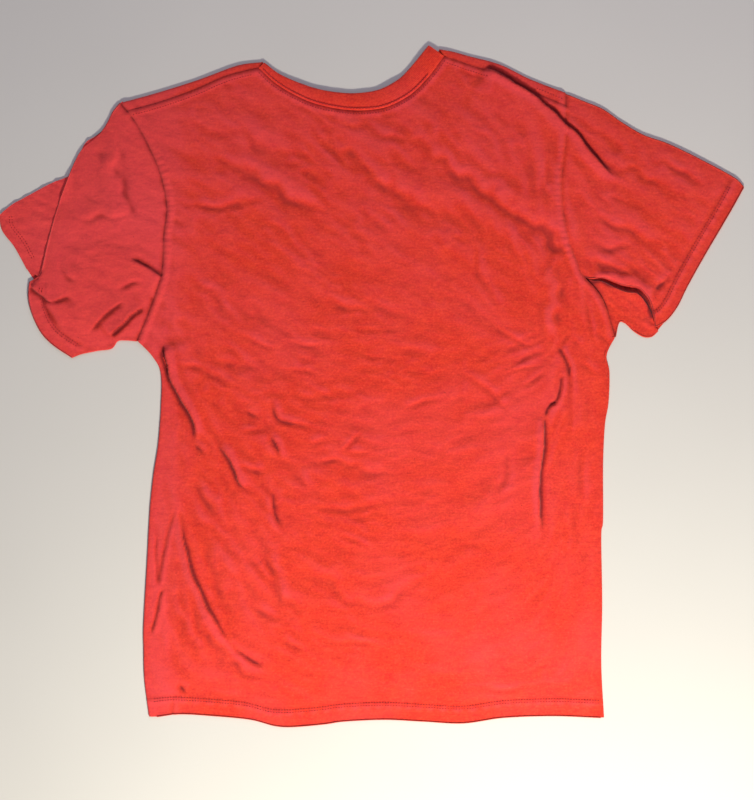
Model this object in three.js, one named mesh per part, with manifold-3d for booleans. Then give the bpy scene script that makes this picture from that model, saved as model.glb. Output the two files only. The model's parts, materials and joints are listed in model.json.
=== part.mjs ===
// A crew-neck cotton T-shirt lying flat with its back up, as the pieces it is sewn from:
// front, back, two sleeves, neck rib, neck tape, turned hems, seam allowances and stitch rows.
// Millimetres. +Z is up, +Y points to the neck, +X to the right when seen from above.
import * as THREE from 'three';
import { mergeVertices } from 'three/addons/utils/BufferGeometryUtils.js';
import Module from 'manifold-3d';

const wasm = await Module();
wasm.setup();

// Cloth and sewing.
const PLY = 1.0; // one layer of jersey
const RIB_PLY = 1.8; // neck rib, two layers
const TURN_PLY = 0.6; // the layer turned in at a hem
const TAPE_PLY = 0.6;
const SEAM_PLY = 1.2; // overlocked seam allowance
const SEAM_WIDTH = 7;
const TAPE_WIDTH = 10;
const ARMHOLE_SEAM_WIDTH = 10;
const THREAD_PLY = 0.4;
const THREAD_WIDTH = 0.8;
const TWIN_NEEDLE = 6.4; // between the two needle rows at the neck
const HEM_NEEDLE = 3; // between the two needle rows at a hem
const GAP = 0.3; // between pieces that are sewn together

// Body, measured from the origin under the middle of the shirt.
const HEM_Y = -363;
const HEM_DIP = 12.6; // how far the hem dips below its corners
const HEM_DIP_X = -91; // it dips furthest left of the middle
const HEM_RISE_X = 60; // and has risen by half of that here
const HEM_DEPTH = 20; // turned-in hem
const WAIST_Y = -20;
const UNDERARM_Y = 50;
const LOFT = 6; // rise of the back over its side seams
const ROLL = 12; // the front panel rolls this far over each shoulder
const NECK_LEFT = { x: -124, y: 349 };
const NECK_RIGHT = { x: 79, y: 362 };
const BACK_NECK_DIP = 53;
const FRONT_NECK_DIP = 120;
const RIB_WIDTH = 19;
const RIB_FOLD_LEFT = 9; // width of the rib that shows where it folds at each side
const RIB_FOLD_RIGHT = 21;
const RIB_RISE = 0.5; // the double rib stands this much over the back
const RIB_TURN_LEFT = Math.PI / 4; // how far the rib leans at each fold from the line between them
const RIB_TURN_RIGHT = -Math.PI / 5;
const NECK_SHARE = 0.1; // the rolled front panel covers this share of the back neckline

// Sleeves.
const SLEEVE_LOFT = 5;
const CUFF_DEPTH = 17; // turned-in hem
const CAP_WIDTH = 8; // least cloth between the armhole seam and the fold line
const FOLD_INSET = 10; // the turned layer starts this far in from a fold
const EDGE_SET_BACK = 1; // the turned layer ends this far short of the hem's edge

// How each side lies: distances out from half the chest, and places along Y.
const HALF_CHEST = 262.5;
const LEFT = {
  name: 'left',
  sign: -1,
  hem: -17.5,
  low: -11.5,
  waist: -29.5,
  chest: -4.5,
  armhole: [[-30.5, 118], [-37.5, 190], [-15.5, 262]],
  shoulder: [13.5, 311],
  shoulderBow: 4,
  sleeveTop: [[53.5, 267], [82.5, 230]],
  cuffTop: [145.5, 190],
  cuff: [[116.5, 122], [105.5, 72]],
  cuffLow: [66.5, 33],
  sleeveUnder: [[37.5, 40]],
};
const RIGHT = {
  name: 'right',
  sign: 1,
  hem: -7.5,
  low: -9.5,
  waist: -3.5,
  chest: 4.5,
  armhole: [[-31.5, 122], [-53.5, 195], [-52.5, 265]],
  shoulder: [-49.5, 320],
  shoulderBow: -4,
  sleeveTop: [[-0.5, 296], [67.5, 262]],
  cuffTop: [145.5, 219],
  cuff: [[109.5, 154], [77.5, 97]],
  cuffLow: [45.5, 57],
  sleeveUnder: [[25.5, 62]],
};

// Where rows of stitches and seam allowances start and end, as shares of their seams.
const SIDE_SEAM_SPAN = [0.01, 0.98];
const SHOULDER_SEAM_SPAN = [0.08, 0.9];
const TAPE_SPAN = [0.18, 0.82];
const NECK_STITCH_SPAN = [0.08, 0.92];
const HEM_STITCH_SPAN = [0.01, 0.99];
const CUFF_STITCH_SPAN = [0.04, 0.92];
const UNDERARM_START = 0.03;

// Grid steps.
const HEM_STEPS = 8;
const SIDE_STEPS = 8;
const ARM_STEPS = 8;
const SHOULDER_STEPS = 4;
const NECK_STEPS = 12;
const SLEEVE_STEPS = 5;
const CAP_STEPS = 2;
const FOLD_STEPS = 4; // facets round a folded edge

// Heights of the layers' middle surfaces.
const FRONT_Z = PLY / 2;
const SEAM_Z = PLY + GAP + SEAM_PLY / 2;
const BACK_Z = PLY + GAP + SEAM_PLY + GAP + PLY / 2;
const FRONT_RIB_Z = RIB_PLY / 2;
const BACK_RIB_Z = BACK_Z + RIB_RISE;

const point = (x, y) => new THREE.Vector2(x, y);
const lift = (p, z) => new THREE.Vector3(p.x, p.y, z);
const mix = (a, b, t) => a + (b - a) * t;
const between = (a, b, t) => a.clone().lerp(b, t);
const steps = (n, from = 0, to = 1) => Array.from({ length: n + 1 }, (_, i) => mix(from, to, i / n));
const bulge = (t) => 4 * t * (1 - t);

function curveThrough(...points) {
  const curve = new THREE.SplineCurve(points);
  return (t) => curve.getPointAt(THREE.MathUtils.clamp(t, 0, 1));
}

// The direction square to a plan curve, to the right of the way it runs.
function squareTo(curve, t) {
  const step = 0.001;
  const a = curve(Math.max(t - step, 0));
  const b = curve(Math.min(t + step, 1));
  return point(b.y - a.y, a.x - b.x).normalize();
}

// A closed solid from its vertices and triangles, with its faces turned out.
function solidFrom(vertices, triangles) {
  let volume = 0;
  for (const [a, b, c] of triangles) {
    volume += vertices[a].dot(vertices[b].clone().cross(vertices[c]));
  }
  const turned = volume < 0 ? triangles.map(([a, b, c]) => [a, c, b]) : triangles;
  const geometry = new THREE.BufferGeometry();
  geometry.setAttribute('position', new THREE.Float32BufferAttribute(vertices.flatMap((v) => v.toArray()), 3));
  geometry.setIndex(turned.flat());
  return geometry;
}

// One layer of cloth: a grid of points on its middle surface, made `thick` mm thick and closed
// along its edges. With `tube` the grid's columns close on themselves.
function layer(grid, thick, tube = false) {
  const rows = grid.length;
  const columns = grid[0].length;
  const row = (i) => Math.min(Math.max(i, 0), rows - 1);
  const column = (j) => (tube ? (j + columns) % columns : Math.min(Math.max(j, 0), columns - 1));
  const vertices = [];
  for (const side of [1, -1]) {
    for (let i = 0; i < rows; i += 1) {
      for (let j = 0; j < columns; j += 1) {
        const across = grid[i][column(j + 1)].clone().sub(grid[i][column(j - 1)]);
        const along = grid[row(i + 1)][j].clone().sub(grid[row(i - 1)][j]);
        const normal = across.cross(along).normalize();
        vertices.push(grid[i][j].clone().addScaledVector(normal, (side * thick) / 2));
      }
    }
  }
  const top = (i, j) => i * columns + column(j);
  const under = (i, j) => rows * columns + top(i, j);
  const triangles = [];
  const quad = (a, b, c, d) => triangles.push([a, b, c], [a, c, d]);
  const lastColumn = tube ? columns : columns - 1;
  for (let i = 0; i < rows - 1; i += 1) {
    for (let j = 0; j < lastColumn; j += 1) {
      quad(top(i, j), top(i, j + 1), top(i + 1, j + 1), top(i + 1, j));
      quad(under(i, j), under(i + 1, j), under(i + 1, j + 1), under(i, j + 1));
    }
  }
  for (let j = 0; j < lastColumn; j += 1) {
    quad(under(0, j), under(0, j + 1), top(0, j + 1), top(0, j));
    quad(top(rows - 1, j), top(rows - 1, j + 1), under(rows - 1, j + 1), under(rows - 1, j));
  }
  if (!tube) {
    for (let i = 0; i < rows - 1; i += 1) {
      quad(under(i + 1, 0), under(i, 0), top(i, 0), top(i + 1, 0));
      quad(top(i + 1, lastColumn), top(i, lastColumn), under(i, lastColumn), under(i + 1, lastColumn));
    }
  }
  return solidFrom(vertices, triangles);
}

// A flat strip that follows a list of points, `width` mm wide on the side that `across` points to.
function strip(points, across, width, thick) {
  const grid = points.map((p, i) => [p, p.clone().addScaledVector(across[i], width)]);
  return layer(grid, thick);
}

// A plan patch filled between four edges that meet at their corners.
function patchBetween(low, high, left, right) {
  const c00 = low(0);
  const c10 = low(1);
  const c01 = high(0);
  const c11 = high(1);
  return (u, v) => {
    const p = point(0, 0);
    p.addScaledVector(low(u), 1 - v).addScaledVector(high(u), v);
    p.addScaledVector(left(v), 1 - u).addScaledVector(right(v), u);
    p.addScaledVector(c00, -(1 - u) * (1 - v)).addScaledVector(c10, -u * (1 - v));
    p.addScaledVector(c01, -(1 - u) * v).addScaledVector(c11, -u * v);
    return p;
  };
}

function toManifold(geometry) {
  const bare = geometry.clone();
  bare.deleteAttribute('normal');
  bare.deleteAttribute('uv');
  const merged = mergeVertices(bare, 1e-4);
  return new wasm.Manifold(
    new wasm.Mesh({
      numProp: 3,
      vertProperties: new Float32Array(merged.attributes.position.array),
      triVerts: new Uint32Array(merged.index.array),
    }),
  );
}

function joined(...geometries) {
  const whole = geometries.map(toManifold).reduce((a, b) => a.add(b));
  const mesh = whole.getMesh();
  const geometry = new THREE.BufferGeometry();
  geometry.setAttribute('position', new THREE.BufferAttribute(mesh.vertProperties, 3));
  geometry.setIndex(new THREE.BufferAttribute(mesh.triVerts, 1));
  return geometry;
}

// ---- Plan curves of one side ---------------------------------------------------------------

// The share of an armhole below the front panel's roll over the shoulder.
const rollShare = (side) => 1 - ROLL / (side.shoulder[1] - UNDERARM_Y);

function layOut(side, neckEnd, neckShare, backNeck) {
  const at = ([x, y]) => point(side.sign * (HALF_CHEST + x), y);
  const hemCorner = at([side.hem, HEM_Y]);
  const underarm = at([side.chest, UNDERARM_Y]);
  const tip = at(side.shoulder);
  const edge = curveThrough(
    hemCorner,
    at([side.low, HEM_Y + (WAIST_Y - HEM_Y) / 3]),
    at([side.waist, WAIST_Y]),
    underarm,
  );
  const armhole = curveThrough(underarm, ...side.armhole.map(at), tip);
  const shoulderMiddle = between(tip, neckEnd, 0.5);
  shoulderMiddle.y += side.shoulderBow;
  const shoulder = curveThrough(tip, shoulderMiddle, neckEnd);
  const rolled = rollShare(side);
  const seamTip = armhole(rolled);
  const seamNeck = backNeck(neckShare);
  const seamMiddle = between(seamTip, seamNeck, 0.5);
  seamMiddle.y += side.shoulderBow;
  const shoulderSeam = curveThrough(seamTip, seamMiddle, seamNeck);
  const chord = tip.clone().sub(underarm).normalize();
  const out = point(side.sign * chord.y, -side.sign * chord.x);
  const foldLow = underarm.clone().addScaledVector(out, CAP_WIDTH);
  const foldHigh = tip.clone().addScaledVector(out, CAP_WIDTH);
  const cuffTop = at(side.cuffTop);
  const cuffLow = at(side.cuffLow);
  const startLow = foldLow.clone().addScaledVector(out, 2 * GAP);
  const startHigh = foldHigh.clone().addScaledVector(out, 2 * GAP);
  const sleeve = patchBetween(
    (u) => between(startLow, startHigh, u),
    curveThrough(cuffLow, ...side.cuff.map(at).reverse(), cuffTop),
    curveThrough(startLow, ...side.sleeveUnder.map(at), cuffLow),
    curveThrough(startHigh, ...side.sleeveTop.map(at), cuffTop),
  );
  return { side, edge, armhole, shoulder, shoulderSeam, rolled, out, foldLow, foldHigh, sleeve };
}

function dippedCurve(a, b, dip) {
  const middle = between(a, b, 0.5);
  middle.y -= dip * 2;
  const curve = new THREE.QuadraticBezierCurve(a, middle, b);
  return (t) => curve.getPointAt(THREE.MathUtils.clamp(t, 0, 1));
}

const neckLeft = point(NECK_LEFT.x, NECK_LEFT.y);
const neckRight = point(NECK_RIGHT.x, NECK_RIGHT.y);
const backNeck = dippedCurve(neckLeft, neckRight, BACK_NECK_DIP);
const frontNeck = dippedCurve(neckLeft, neckRight, FRONT_NECK_DIP);
const left = layOut(LEFT, neckLeft, NECK_SHARE, backNeck);
const right = layOut(RIGHT, neckRight, 1 - NECK_SHARE, backNeck);

const BACK_LENGTH = RIGHT.shoulder[1] - HEM_Y;

const hem = curveThrough(
  left.edge(0),
  point(HEM_DIP_X, HEM_Y - HEM_DIP),
  point(HEM_RISE_X, HEM_Y - HEM_DIP / 2),
  right.edge(0),
);

// ---- Torso ---------------------------------------------------------------------------------

// Shares of the armhole where every piece along it has a corner.
const armholeShares = (lay) => [...steps(ARM_STEPS, 0, lay.rolled), 1];

// Height that the sleeve's opening adds along the armhole, nothing where the front rolls over.
const armholeRise = (t, rolled) => SLEEVE_LOFT * bulge(Math.min(t / rolled, 1));

const UNDERARM_SHARE = 0.6; // the share of the back's length up to the underarm
const SHOULDER_SHARE = 0.3; // the share of the back's width that each shoulder takes

function sideOfBack(lay, v) {
  if (v <= UNDERARM_SHARE) return lay.edge(v / UNDERARM_SHARE);
  return lay.armhole((lay.rolled * (v - UNDERARM_SHARE)) / (1 - UNDERARM_SHARE));
}

function sideRise(lay, v) {
  if (v <= UNDERARM_SHARE) return 0;
  return armholeRise((lay.rolled * (v - UNDERARM_SHARE)) / (1 - UNDERARM_SHARE), lay.rolled);
}

function topOfBack(u) {
  if (u <= SHOULDER_SHARE) return left.shoulderSeam(u / SHOULDER_SHARE);
  if (u >= 1 - SHOULDER_SHARE) return right.shoulderSeam((1 - u) / SHOULDER_SHARE);
  const share = (u - SHOULDER_SHARE) / (1 - 2 * SHOULDER_SHARE);
  return backNeck(mix(NECK_SHARE, 1 - NECK_SHARE, share));
}

const backPlan = patchBetween(
  hem,
  topOfBack,
  (v) => sideOfBack(left, v),
  (v) => sideOfBack(right, v),
);

// The back's middle surface: low along its seams and lofted between them.
function backAt(u, v) {
  const sides = sideRise(left, v) * (1 - u) ** 3 + sideRise(right, v) * u ** 3;
  return lift(backPlan(u, v), BACK_Z + sides + LOFT * bulge(u) * (1 - v ** 6));
}

const backColumns = [
  ...steps(SHOULDER_STEPS, 0, SHOULDER_SHARE),
  ...steps(NECK_STEPS, SHOULDER_SHARE, 1 - SHOULDER_SHARE).slice(1),
  ...steps(SHOULDER_STEPS, 1 - SHOULDER_SHARE, 1).slice(1),
];
const backRows = [...steps(SIDE_STEPS, 0, UNDERARM_SHARE), ...steps(ARM_STEPS, UNDERARM_SHARE, 1).slice(1)];

function backPanel() {
  const shrink = 1 - GAP / BACK_LENGTH;
  const grid = backRows.map((v) => backColumns.map((u) => backAt(u, v * shrink)));
  return layer(grid, PLY);
}

// The front panel's roll over one shoulder, from flat on the table to the seam on the back.
function shoulderRoll(lay) {
  const radius = (BACK_Z - FRONT_Z) / 2;
  const grid = steps(SHOULDER_STEPS * 2).map((t) => {
    const crest = lay.shoulder(t);
    const seam = lay.shoulderSeam(t);
    const inward = seam.clone().sub(crest).normalize();
    const around = steps(FOLD_STEPS, 0, Math.PI).map((angle) => {
      const p = crest.clone().addScaledVector(inward, radius * (1 - Math.sin(angle)));
      return lift(p, FRONT_Z + radius * (1 - Math.cos(angle)));
    });
    const below = between(inward, point(0, -1), t);
    const start = lift(crest.clone().addScaledVector(below, ROLL / 2), FRONT_Z);
    return [start, ...around, lift(seam.clone().addScaledVector(inward, -GAP), BACK_Z)];
  });
  return layer(grid, PLY);
}

function frontPanel() {
  const outline = [
    ...steps(HEM_STEPS).map(hem),
    ...steps(SIDE_STEPS).slice(1).map(right.edge),
    ...armholeShares(right).slice(1).map(right.armhole),
    ...steps(NECK_STEPS).reverse().map(frontNeck),
    ...armholeShares(left).reverse().map(left.armhole),
    ...steps(SIDE_STEPS).reverse().slice(1, -1).map(left.edge),
  ];
  const flat = new THREE.ExtrudeGeometry(new THREE.Shape(outline), { depth: PLY, bevelEnabled: false });
  return joined(flat, shoulderRoll(left), shoulderRoll(right));
}

function sideSeam(lay) {
  const sampled = steps(SIDE_STEPS, ...SIDE_SEAM_SPAN);
  const points = sampled.map((t) => {
    const inward = squareTo(lay.edge, t).multiplyScalar(lay.side.sign);
    return lift(lay.edge(t).addScaledVector(inward, -2 * GAP), SEAM_Z);
  });
  const across = sampled.map((t) => lift(squareTo(lay.edge, t).multiplyScalar(-lay.side.sign), 0));
  return strip(points, across, SEAM_WIDTH, SEAM_PLY);
}

// Under the seam, half on the rolled front panel and half on the back.
function shoulderSeam(lay) {
  const sampled = steps(SHOULDER_STEPS * 2, ...SHOULDER_SEAM_SPAN);
  const across = sampled.map((t) => {
    return lift(lay.shoulderSeam(t).sub(lay.shoulder(t)).normalize(), 0);
  });
  const points = sampled.map((t, i) => {
    return lift(lay.shoulderSeam(t), SEAM_Z).addScaledVector(across[i], -SEAM_WIDTH / 2);
  });
  return strip(points, across, SEAM_WIDTH, SEAM_PLY);
}

// ---- Neck ----------------------------------------------------------------------------------

// Which way the rib runs from its seam to its free edge, and how wide it is there.
function ribReach(t) {
  const leftWay = neckRight.clone().sub(neckLeft).rotateAround(point(0, 0), RIB_TURN_LEFT).normalize();
  const rightWay = neckLeft.clone().sub(neckRight).rotateAround(point(0, 0), RIB_TURN_RIGHT).normalize();
  const ends = t < 0.5 ? leftWay : rightWay;
  const endWidth = t < 0.5 ? RIB_FOLD_LEFT : RIB_FOLD_RIGHT;
  const share = Math.sin(Math.PI * t) ** 0.6;
  return ends.lerp(point(0, 1), share).normalize().multiplyScalar(mix(endWidth, RIB_WIDTH, share));
}

function neckRib() {
  const radius = (BACK_RIB_Z - FRONT_RIB_Z) / 2;
  const ring = [];
  const push = (seam, t, z) => ring.push({ seam, t, z });
  const fold = (seam, t, from) => {
    const reach = ribReach(t).normalize();
    const outward = t < 0.5 ? point(-reach.y, reach.x) : point(reach.y, -reach.x);
    for (const angle of steps(FOLD_STEPS, 0, Math.PI).slice(1, -1)) {
      const p = seam.clone().addScaledVector(outward, radius * Math.sin(angle));
      push(p, t, mix(FRONT_RIB_Z, BACK_RIB_Z, (1 - from * Math.cos(angle)) / 2));
    }
  };
  const clear = 2 * GAP;
  const clearOf = (curve, t) => {
    const inward = squareTo(curve, t).multiplyScalar(-1);
    return curve(t).addScaledVector(inward, clear);
  };
  steps(NECK_STEPS).forEach((t) => push(clearOf(backNeck, t), t, BACK_RIB_Z));
  fold(clearOf(backNeck, 1), 1, -1);
  steps(NECK_STEPS).reverse().forEach((t) => push(clearOf(frontNeck, t), t, FRONT_RIB_Z));
  fold(clearOf(frontNeck, 0), 0, 1);
  const grid = steps(2).map((share) => {
    return ring.map(({ seam, t, z }) => lift(seam.clone().addScaledVector(ribReach(t), share), z));
  });
  return layer(grid, RIB_PLY, true);
}

// A line that keeps its distance to the back neckline, between two shares of it.
function alongNeck(offset, z, count, span) {
  const sampled = steps(count, ...span);
  const out = sampled.map((t) => squareTo(backNeck, t));
  const points = sampled.map((t, i) => lift(backNeck(t).addScaledVector(out[i], offset), z));
  return { points, across: out.map((p) => lift(p, 0)) };
}

// Inside the neck, over the seam between the rib and the back.
function neckTape() {
  const z = PLY + 2 * GAP + TAPE_PLY;
  const { points, across } = alongNeck(-TAPE_WIDTH / 3, z, NECK_STEPS, TAPE_SPAN);
  return strip(points, across, TAPE_WIDTH, TAPE_PLY);
}

function neckStitchOnRib() {
  const z = BACK_RIB_Z + RIB_PLY / 2 + GAP + THREAD_PLY / 2;
  const offset = -(2 * GAP + TWIN_NEEDLE / 2);
  const { points, across } = alongNeck(offset, z, NECK_STEPS * 2, NECK_STITCH_SPAN);
  return strip(points, across, THREAD_WIDTH, THREAD_PLY);
}

// On the back, a needle's distance below the rib's row.
function neckStitchOnBack() {
  const offset = TWIN_NEEDLE / 2;
  const v = 1 - offset / BACK_LENGTH;
  const rise = PLY / 2 + GAP + THREAD_PLY / 2;
  const count = backColumns.length - 2 * SHOULDER_STEPS - 1;
  const grid = steps(count, SHOULDER_SHARE + 0.01, 1 - SHOULDER_SHARE - 0.01).map((u) => {
    return [v, v - THREAD_WIDTH / BACK_LENGTH].map((w) => {
      const p = backAt(u, w);
      p.z += rise;
      return p;
    });
  });
  return layer(grid, THREAD_PLY);
}

// ---- Sleeves -------------------------------------------------------------------------------

// The closed section of a flat tube of cloth. `across` runs from its lower fold to its upper one
// and gives the plan point at a share of the way; `rise` gives the upper layer's height there.
function tubeSection(across, rise, low, high, shares) {
  const start = shares.at(0);
  const end = shares.at(-1);
  const outward = [across(0).sub(across(1)).normalize(), across(1).sub(across(0)).normalize()];
  const fold = (share, way, from) => {
    const top = high + rise(share);
    const radius = (top - low) / 2;
    return steps(FOLD_STEPS, 0, Math.PI).slice(1, -1).map((angle) => {
      const p = across(share).addScaledVector(way, radius * Math.sin(angle));
      return lift(p, mix(low, top, (1 - from * Math.cos(angle)) / 2));
    });
  };
  return [
    ...shares.map((s) => lift(across(s), low)),
    ...fold(end, outward[1], 1),
    ...shares.toReversed().map((s) => lift(across(s), high + rise(s))),
    ...fold(start, outward[0], -1),
  ];
}

function sleeveCap(lay) {
  const clear = 1.6 * GAP; // more than the gap, because the armhole runs aslant
  const grid = steps(CAP_STEPS).map((share) => {
    const across = (s) => {
      const seam = lay.armhole(s).addScaledVector(lay.out, clear);
      return seam.lerp(between(lay.foldLow, lay.foldHigh, s), share);
    };
    return tubeSection(across, (s) => armholeRise(s, lay.rolled), FRONT_Z, BACK_Z, armholeShares(lay));
  });
  return layer(grid, PLY, true);
}

function sleeve(lay) {
  const grid = steps(SLEEVE_STEPS).map((v) => {
    const across = (s) => lay.sleeve(s, v);
    return tubeSection(across, (s) => armholeRise(s, lay.rolled), FRONT_Z, BACK_Z, armholeShares(lay));
  });
  return layer(grid, PLY, true);
}

// Shares between two folds, each `inset` mm in from its fold.
function insetShares(across, inset, count) {
  const start = inset / across(0).distanceTo(across(1));
  return steps(count, start, 1 - start);
}

// A depth measured along a sleeve, as a share of the sleeve's length.
function sleeveShare(lay, depth) {
  return depth / lay.sleeve(0.5, 0).distanceTo(lay.sleeve(0.5, 1));
}

function sleeveHem(lay) {
  const inside = PLY / 2 + GAP + TURN_PLY / 2;
  const rows = steps(1, 1 - sleeveShare(lay, CUFF_DEPTH), 1 - sleeveShare(lay, EDGE_SET_BACK));
  const grid = rows.map((v) => {
    const across = (s) => lay.sleeve(s, v);
    const rise = (s) => armholeRise(s, lay.rolled);
    const shares = insetShares(across, FOLD_INSET, ARM_STEPS);
    return tubeSection(across, rise, FRONT_Z + inside, BACK_Z - inside, shares);
  });
  return layer(grid, TURN_PLY, true);
}

function sleeveHemStitch(lay) {
  const rise = PLY / 2 + GAP + THREAD_PLY / 2;
  const share = sleeveShare(lay, CUFF_DEPTH - HEM_NEEDLE);
  const width = sleeveShare(lay, THREAD_WIDTH);
  const grid = steps(ARM_STEPS * 2, ...CUFF_STITCH_SPAN).map((s) => {
    const z = BACK_Z + armholeRise(s, lay.rolled) + rise;
    return [lift(lay.sleeve(s, 1 - share), z), lift(lay.sleeve(s, 1 - share + width), z)];
  });
  return layer(grid, THREAD_PLY);
}

function underarmSeam(lay) {
  const clear = 3 * GAP;
  const sampled = steps(SLEEVE_STEPS, UNDERARM_START, 1 - sleeveShare(lay, CUFF_DEPTH + 1));
  const across = sampled.map((v) => lift(lay.sleeve(0.5, v).sub(lay.sleeve(0, v)).normalize(), 0));
  const points = sampled.map((v, i) => lift(lay.sleeve(0, v), SEAM_Z).addScaledVector(across[i], clear));
  return strip(points, across, SEAM_WIDTH, SEAM_PLY);
}

// A ring inside the armhole, half on the body's layers and half on the sleeve's.
function armholeSeam(lay) {
  const inside = PLY / 2 + GAP + TURN_PLY / 2;
  const grid = [-1, 1].map((way) => {
    const across = (s) => lay.armhole(s).addScaledVector(lay.out, (way * ARMHOLE_SEAM_WIDTH) / 2);
    const rise = (s) => armholeRise(s, lay.rolled);
    const shares = insetShares(across, FOLD_INSET, ARM_STEPS);
    return tubeSection(across, rise, FRONT_Z + inside, BACK_Z - inside, shares);
  });
  return layer(grid, TURN_PLY, true);
}

// ---- Bottom hem ----------------------------------------------------------------------------

// The turned-in layer goes all round, inside the front and the back.
function bottomHem() {
  const inside = PLY / 2 + GAP + TURN_PLY / 2;
  const grid = [EDGE_SET_BACK, HEM_DEPTH].map((depth) => {
    const across = (u) => backPlan(u, depth / BACK_LENGTH);
    const rise = (u) => LOFT * bulge(u);
    const shares = insetShares(across, 2 * FOLD_INSET, HEM_STEPS * 2);
    return tubeSection(across, rise, FRONT_Z + inside, BACK_Z - inside, shares);
  });
  return layer(grid, TURN_PLY, true);
}

function hemStitch(offset) {
  const v = (HEM_DEPTH - offset) / BACK_LENGTH;
  const rise = PLY / 2 + GAP + THREAD_PLY / 2;
  const grid = steps(2 * NECK_STEPS, ...HEM_STITCH_SPAN).map((u) => {
    return [v, v - THREAD_WIDTH / BACK_LENGTH].map((w) => {
      const p = backAt(u, w);
      p.z += rise;
      return p;
    });
  });
  return layer(grid, THREAD_PLY);
}

// ---- Assembly ------------------------------------------------------------------------------

const JERSEY = { color: 0xe0433a, roughness: 0.95, metalness: 0 };
const SHADED_JERSEY = { color: 0xb53430, roughness: 0.95, metalness: 0 };
const RIB = { color: 0xd63f3b, roughness: 0.95, metalness: 0 };
const THREAD = { color: 0xe8574c, roughness: 0.7, metalness: 0 };

const shirt = new THREE.Group();

function add(name, geometry, finish) {
  geometry.computeVertexNormals();
  const mesh = new THREE.Mesh(geometry, new THREE.MeshStandardMaterial(finish));
  mesh.name = name;
  shirt.add(mesh);
}

add('front_panel', frontPanel(), JERSEY);
add('back_panel', backPanel(), JERSEY);
add('neck_rib', neckRib(), RIB);
add('neck_tape', neckTape(), SHADED_JERSEY);
add('neck_stitch_on_rib', neckStitchOnRib(), THREAD);
add('neck_stitch_on_back', neckStitchOnBack(), THREAD);
add('bottom_hem', bottomHem(), SHADED_JERSEY);
add('hem_stitch_upper', hemStitch(0), THREAD);
add('hem_stitch_lower', hemStitch(HEM_NEEDLE), THREAD);
for (const lay of [left, right]) {
  const name = lay.side.name;
  add(`${name}_side_seam`, sideSeam(lay), SHADED_JERSEY);
  add(`${name}_shoulder_seam`, shoulderSeam(lay), SHADED_JERSEY);
  add(`${name}_armhole_seam`, armholeSeam(lay), SHADED_JERSEY);
  add(`${name}_sleeve_cap`, sleeveCap(lay), JERSEY);
  add(`${name}_sleeve`, sleeve(lay), JERSEY);
  add(`${name}_sleeve_hem`, sleeveHem(lay), SHADED_JERSEY);
  add(`${name}_sleeve_hem_stitch`, sleeveHemStitch(lay), THREAD);
  add(`${name}_underarm_seam`, underarmSeam(lay), SHADED_JERSEY);
}

export default shirt;
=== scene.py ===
# A coral-orange cotton T-shirt lying flat with its back up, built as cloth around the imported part.
# Sizes and places are in millimetres until a mesh is made; +Z is up, +Y points to the neck.
import json
import math
import bpy
import numpy as np
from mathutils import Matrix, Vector


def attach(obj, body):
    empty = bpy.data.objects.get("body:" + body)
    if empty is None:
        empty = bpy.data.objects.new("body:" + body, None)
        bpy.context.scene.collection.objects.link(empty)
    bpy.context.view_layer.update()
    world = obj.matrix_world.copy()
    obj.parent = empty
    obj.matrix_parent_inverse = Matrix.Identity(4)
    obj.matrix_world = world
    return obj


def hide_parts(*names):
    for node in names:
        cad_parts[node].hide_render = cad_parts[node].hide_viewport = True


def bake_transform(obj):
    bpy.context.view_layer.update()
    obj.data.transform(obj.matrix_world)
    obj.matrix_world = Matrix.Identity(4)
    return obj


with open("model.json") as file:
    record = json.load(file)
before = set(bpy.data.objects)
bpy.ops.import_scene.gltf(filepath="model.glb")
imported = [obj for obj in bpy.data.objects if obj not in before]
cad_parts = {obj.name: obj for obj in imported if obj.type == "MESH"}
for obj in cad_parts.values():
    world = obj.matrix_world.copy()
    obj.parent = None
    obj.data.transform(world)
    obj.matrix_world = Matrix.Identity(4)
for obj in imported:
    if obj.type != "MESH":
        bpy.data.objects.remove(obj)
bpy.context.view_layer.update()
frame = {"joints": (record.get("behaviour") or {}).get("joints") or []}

MM = 0.001
WELD = 2e-5  # metres; points nearer than this become one

# ---------------------------------------------------------------- outline and seams, seen from above
HEM_EDGE = [(-245, -363), (-219, -360), (-182, -362), (-140, -366), (-112, -373), (-91, -374), (-56, -371),
            (-34, -368), (11, -366), (55, -368), (100, -370), (145, -364), (201, -362), (255, -364)]
LEFT_SIDE = [(-245, -363), (-250, -323), (-251, -288), (-251, -261), (-247, -190), (-244, -134), (-240, -96),
             (-235, -64), (-232, -23), (-232, 13), (-241, 32), (-258, 50)]
RIGHT_SIDE = [(255, -364), (252, -305), (253, -238), (252, -165), (254, -147), (254, -86), (256, -43),
              (260, -18), (261, 15), (258, 34), (267, 54)]
LEFT_ARMHOLE = [(-258, 50), (-244, 84), (-231, 122), (-228, 167), (-225, 196), (-232, 232), (-246, 265),
                (-260, 290), (-276, 311)]
RIGHT_ARMHOLE = [(267, 54), (253, 96), (231, 122), (223, 141), (216, 160), (210, 189), (207.5, 221),
                 (210, 247), (213, 277), (213, 320)]
LEFT_SHOULDER = [(-276, 311), (-233, 323), (-189, 337), (-148, 352), (-120, 356)]
RIGHT_SHOULDER = [(74, 370), (90, 367), (108, 362), (141, 353), (174, 337), (213, 322)]
LEFT_SHOULDER_SEAM = [(-269, 302), (-233, 312), (-196, 325), (-164, 339), (-140, 346), (-124, 349)]
RIGHT_SHOULDER_SEAM = [(79, 362), (106, 353), (134, 343), (165, 328), (213, 308)]
NECK_SEAM = [(-124, 349), (-108, 334), (-88, 321), (-60, 309), (-23, 302.5), (12, 305), (40, 318),
             (62, 339), (79, 362)]
NECK_EDGE = [(-118, 355), (-102, 343), (-80, 333), (-54, 325), (-23, 321.5), (6, 325), (28, 336),
             (45, 353), (62, 374)]
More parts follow.
